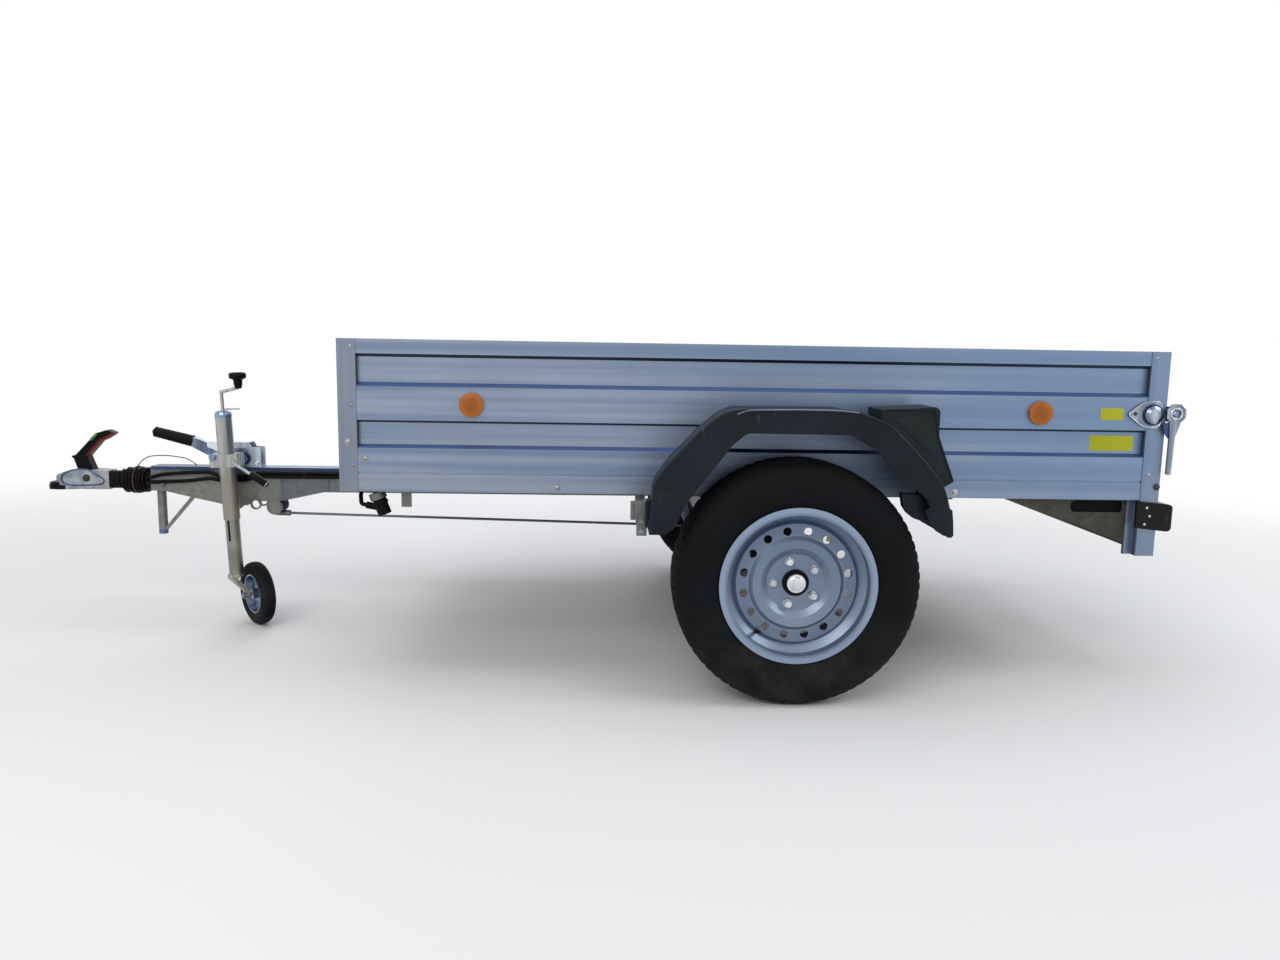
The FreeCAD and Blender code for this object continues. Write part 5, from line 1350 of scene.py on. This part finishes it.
# %% Latches
LEAF = ((-884, 727), (-896, 737), (-924, 758), (-950, 761), (-967, 760), (-973, 744), (-973, 710), (-967, 693),
        (-950, 692), (-924, 695), (-896, 716))
LEAF_SCREW = ((5.2, 0), (5, 1), (3.6, 2.2), (1.6, 2.2), (1.4, 1), (0, 1))
TONGUE = ((-972, 702), (-990, 708), (-1008, 692), (-1003, 668), (-995, 660), (-978, 680))
side_wires(
    ("leaf_edge", on_face(LEAF, 585), 1.7, "bright_steel", "latch_zinc", "chassis", True),
    # The ring round the dome is dark navy: painted shade
    ("dome_ring", ring_points(-950, 586, 726, 27, 27), 2.4, "dark_casting_edge", "latch_zinc", "chassis", True),
    ("latch_eye", ring_points(-1006, 596, 730, 15, 15), 2.4, "bright_steel", "latch_zinc", "tailgate", True),
)
leaf_screws, latch_bolts = both_sides([(-903, 585, 728)]), both_sides([(-1006, 591, 730)], spin=0.2)
new_pieces(
    ("leaf_screws", turned(LEAF_SCREW, 20), leaf_screws, "black_drum_paint", "drum_iron"),
    ("latch_bolts", bolt_head(15, 6, 10), latch_bolts, "blue_plated_steel", "drum_iron", "tailgate", 25),
)
# The spring's tongues are dark navy: painted shade
side_plates("latch_tongues", TONGUE, 590, 595, 0.8, "dark_casting_edge", "latch_zinc", "tailgate")
print("latches dressed")

# %% [markdown]
# The lamp housing is plain black moulding from the side, with three small bright screws and a faint round
# mark. Its lenses are on the rear face: red for tail and brake light and amber for the indicator, each a
# rounded plate with prisms inside. Two red triangles between the lamps are the rear reflectors of any trailer.

# %% Rear lamps
LAMP_SIDE = 590
SMALL_SCREW = ((3.4, 0), (3.2, 0.9), (2, 1.6), (0, 1.7))
lamp_screws = both_sides([(-953, LAMP_SIDE, 481), (-962, LAMP_SIDE, 459), (-950, LAMP_SIDE, 437)])
new_pieces(("lamp_screws", turned(SMALL_SCREW, 16), lamp_screws, "bright_steel", "zinc_plate"))
mark = ring_points(-990, LAMP_SIDE, 457, 9, 12)
side_wires(("lamp_mark", mark, 0.8, "mudguard_plastic", "black_plastic", "chassis", True))
# Lens plates: name, outline, from and to along the outward direction, place, finish, slot
TRIANGLE = ((-38, -24), (38, -24), (41, -19), (4, 40), (-4, 40), (-41, -19))
for name, outline, low, high, place, material, slot in (
    ("tail_lenses", rounded_outline(84, 54, 7), -1, 4, (-1027, 482, 456), "red_prisms", "red_lens"),
    ("indicator_lenses", rounded_outline(42, 54, 7), -1, 4, (-1027, 552, 456), "amber_prisms", "amber_lens"),
    ("rear_triangles", TRIANGLE, 0, 6, (-986, 370, 430), "red_prisms", "red_lens"),
):
    lens_places = mirrored([upright(at(*place), BACK)])
    new_pieces((name, plate_mesh(outline, low, high, 1.2), lens_places, material, slot, "chassis", 30))
print("lamps dressed")

# %% [markdown]
# Below the box, a black plate behind the light carrier's slot is painted shade that makes the slot dark, and a strip
# of the wall's aluminium shows beside the rear post. Bolts hold what is screwed together: hinges, hinge carriers, axle
# brackets, side plates and stays. Round-headed screws hold the floor board to its cross beams.

# %% Carrier and fixings
SLOT_SHADE_OUTLINE = ((-908, 459), (-762, 459), (-758, 466), (-758, 490), (-764, 497), (-908, 497))
STRIP = ((-937, 352), (-917, 352), (-917, 498), (-937, 498))
# A black plate behind the carrier's slot: painted shade
side_plates("slot_shade_plates", SLOT_SHADE_OUTLINE, 548.6, 550.8, 0.3, "soft_rubber", "black_plastic", smooth_angle=35)
side_plates("flange_strips", STRIP, 554.8, 556.4, 0.4, "satin_post_sheet", "side_aluminium", smooth_angle=35)

# Hexagon bolts on both sides: name, places, direction, size across flats, finish, body
HINGE_BOLTS = [(-988, y, z) for y in (238, 302) for z in (527, 563)]
BOLT_ROWS = (
    ("hinge_bolts", HINGE_BOLTS, BACK, 13, "plated_steel", "tailgate"),
    ("hinge_carrier_bolts", [(-990, 270, 443)], BACK, 13, "plated_steel", "chassis"),
    ("bracket_bolts", [(82, 555, 478), (198, 555, 478)], OUT, 17, "galvanised_steel", "chassis"),
    ("side_plate_bolts", [(1850, 34, 433)], OUT, 15, "galvanised_steel", "chassis"),
    ("stay_bolts", [(383, 700, 452), (383, 700, 426)], OUT, 10, "plated_steel", "chassis"),
)
for name, points, direction, across, material, body in BOLT_ROWS:
    head = bolt_head(across, 0.55 * across, 0.72 * across, 0.08 * across)
    new_pieces((name, head, both_sides(points, direction, spin_step=0.3), material, "galvanised_steel", body, 25))
FLOOR_SCREW = ((6.5, -0.2), (6.2, 0.6), (4.4, 1.5), (1.8, 1.8), (1.6, 0.8), (0, 0.8))
FLOOR_TOP = 540
CROSS_BEAMS = (1087, 598, -441, -917)
floor_screws = [aimed(at(x, y, FLOOR_TOP), (0, 0, 1)) for x in CROSS_BEAMS for y in (-500, -250, 0, 250, 500)]
new_pieces(("floor_screws", turned(FLOOR_SCREW, 16), floor_screws, "plated_steel", "zinc_plate"))
print("fixings done")
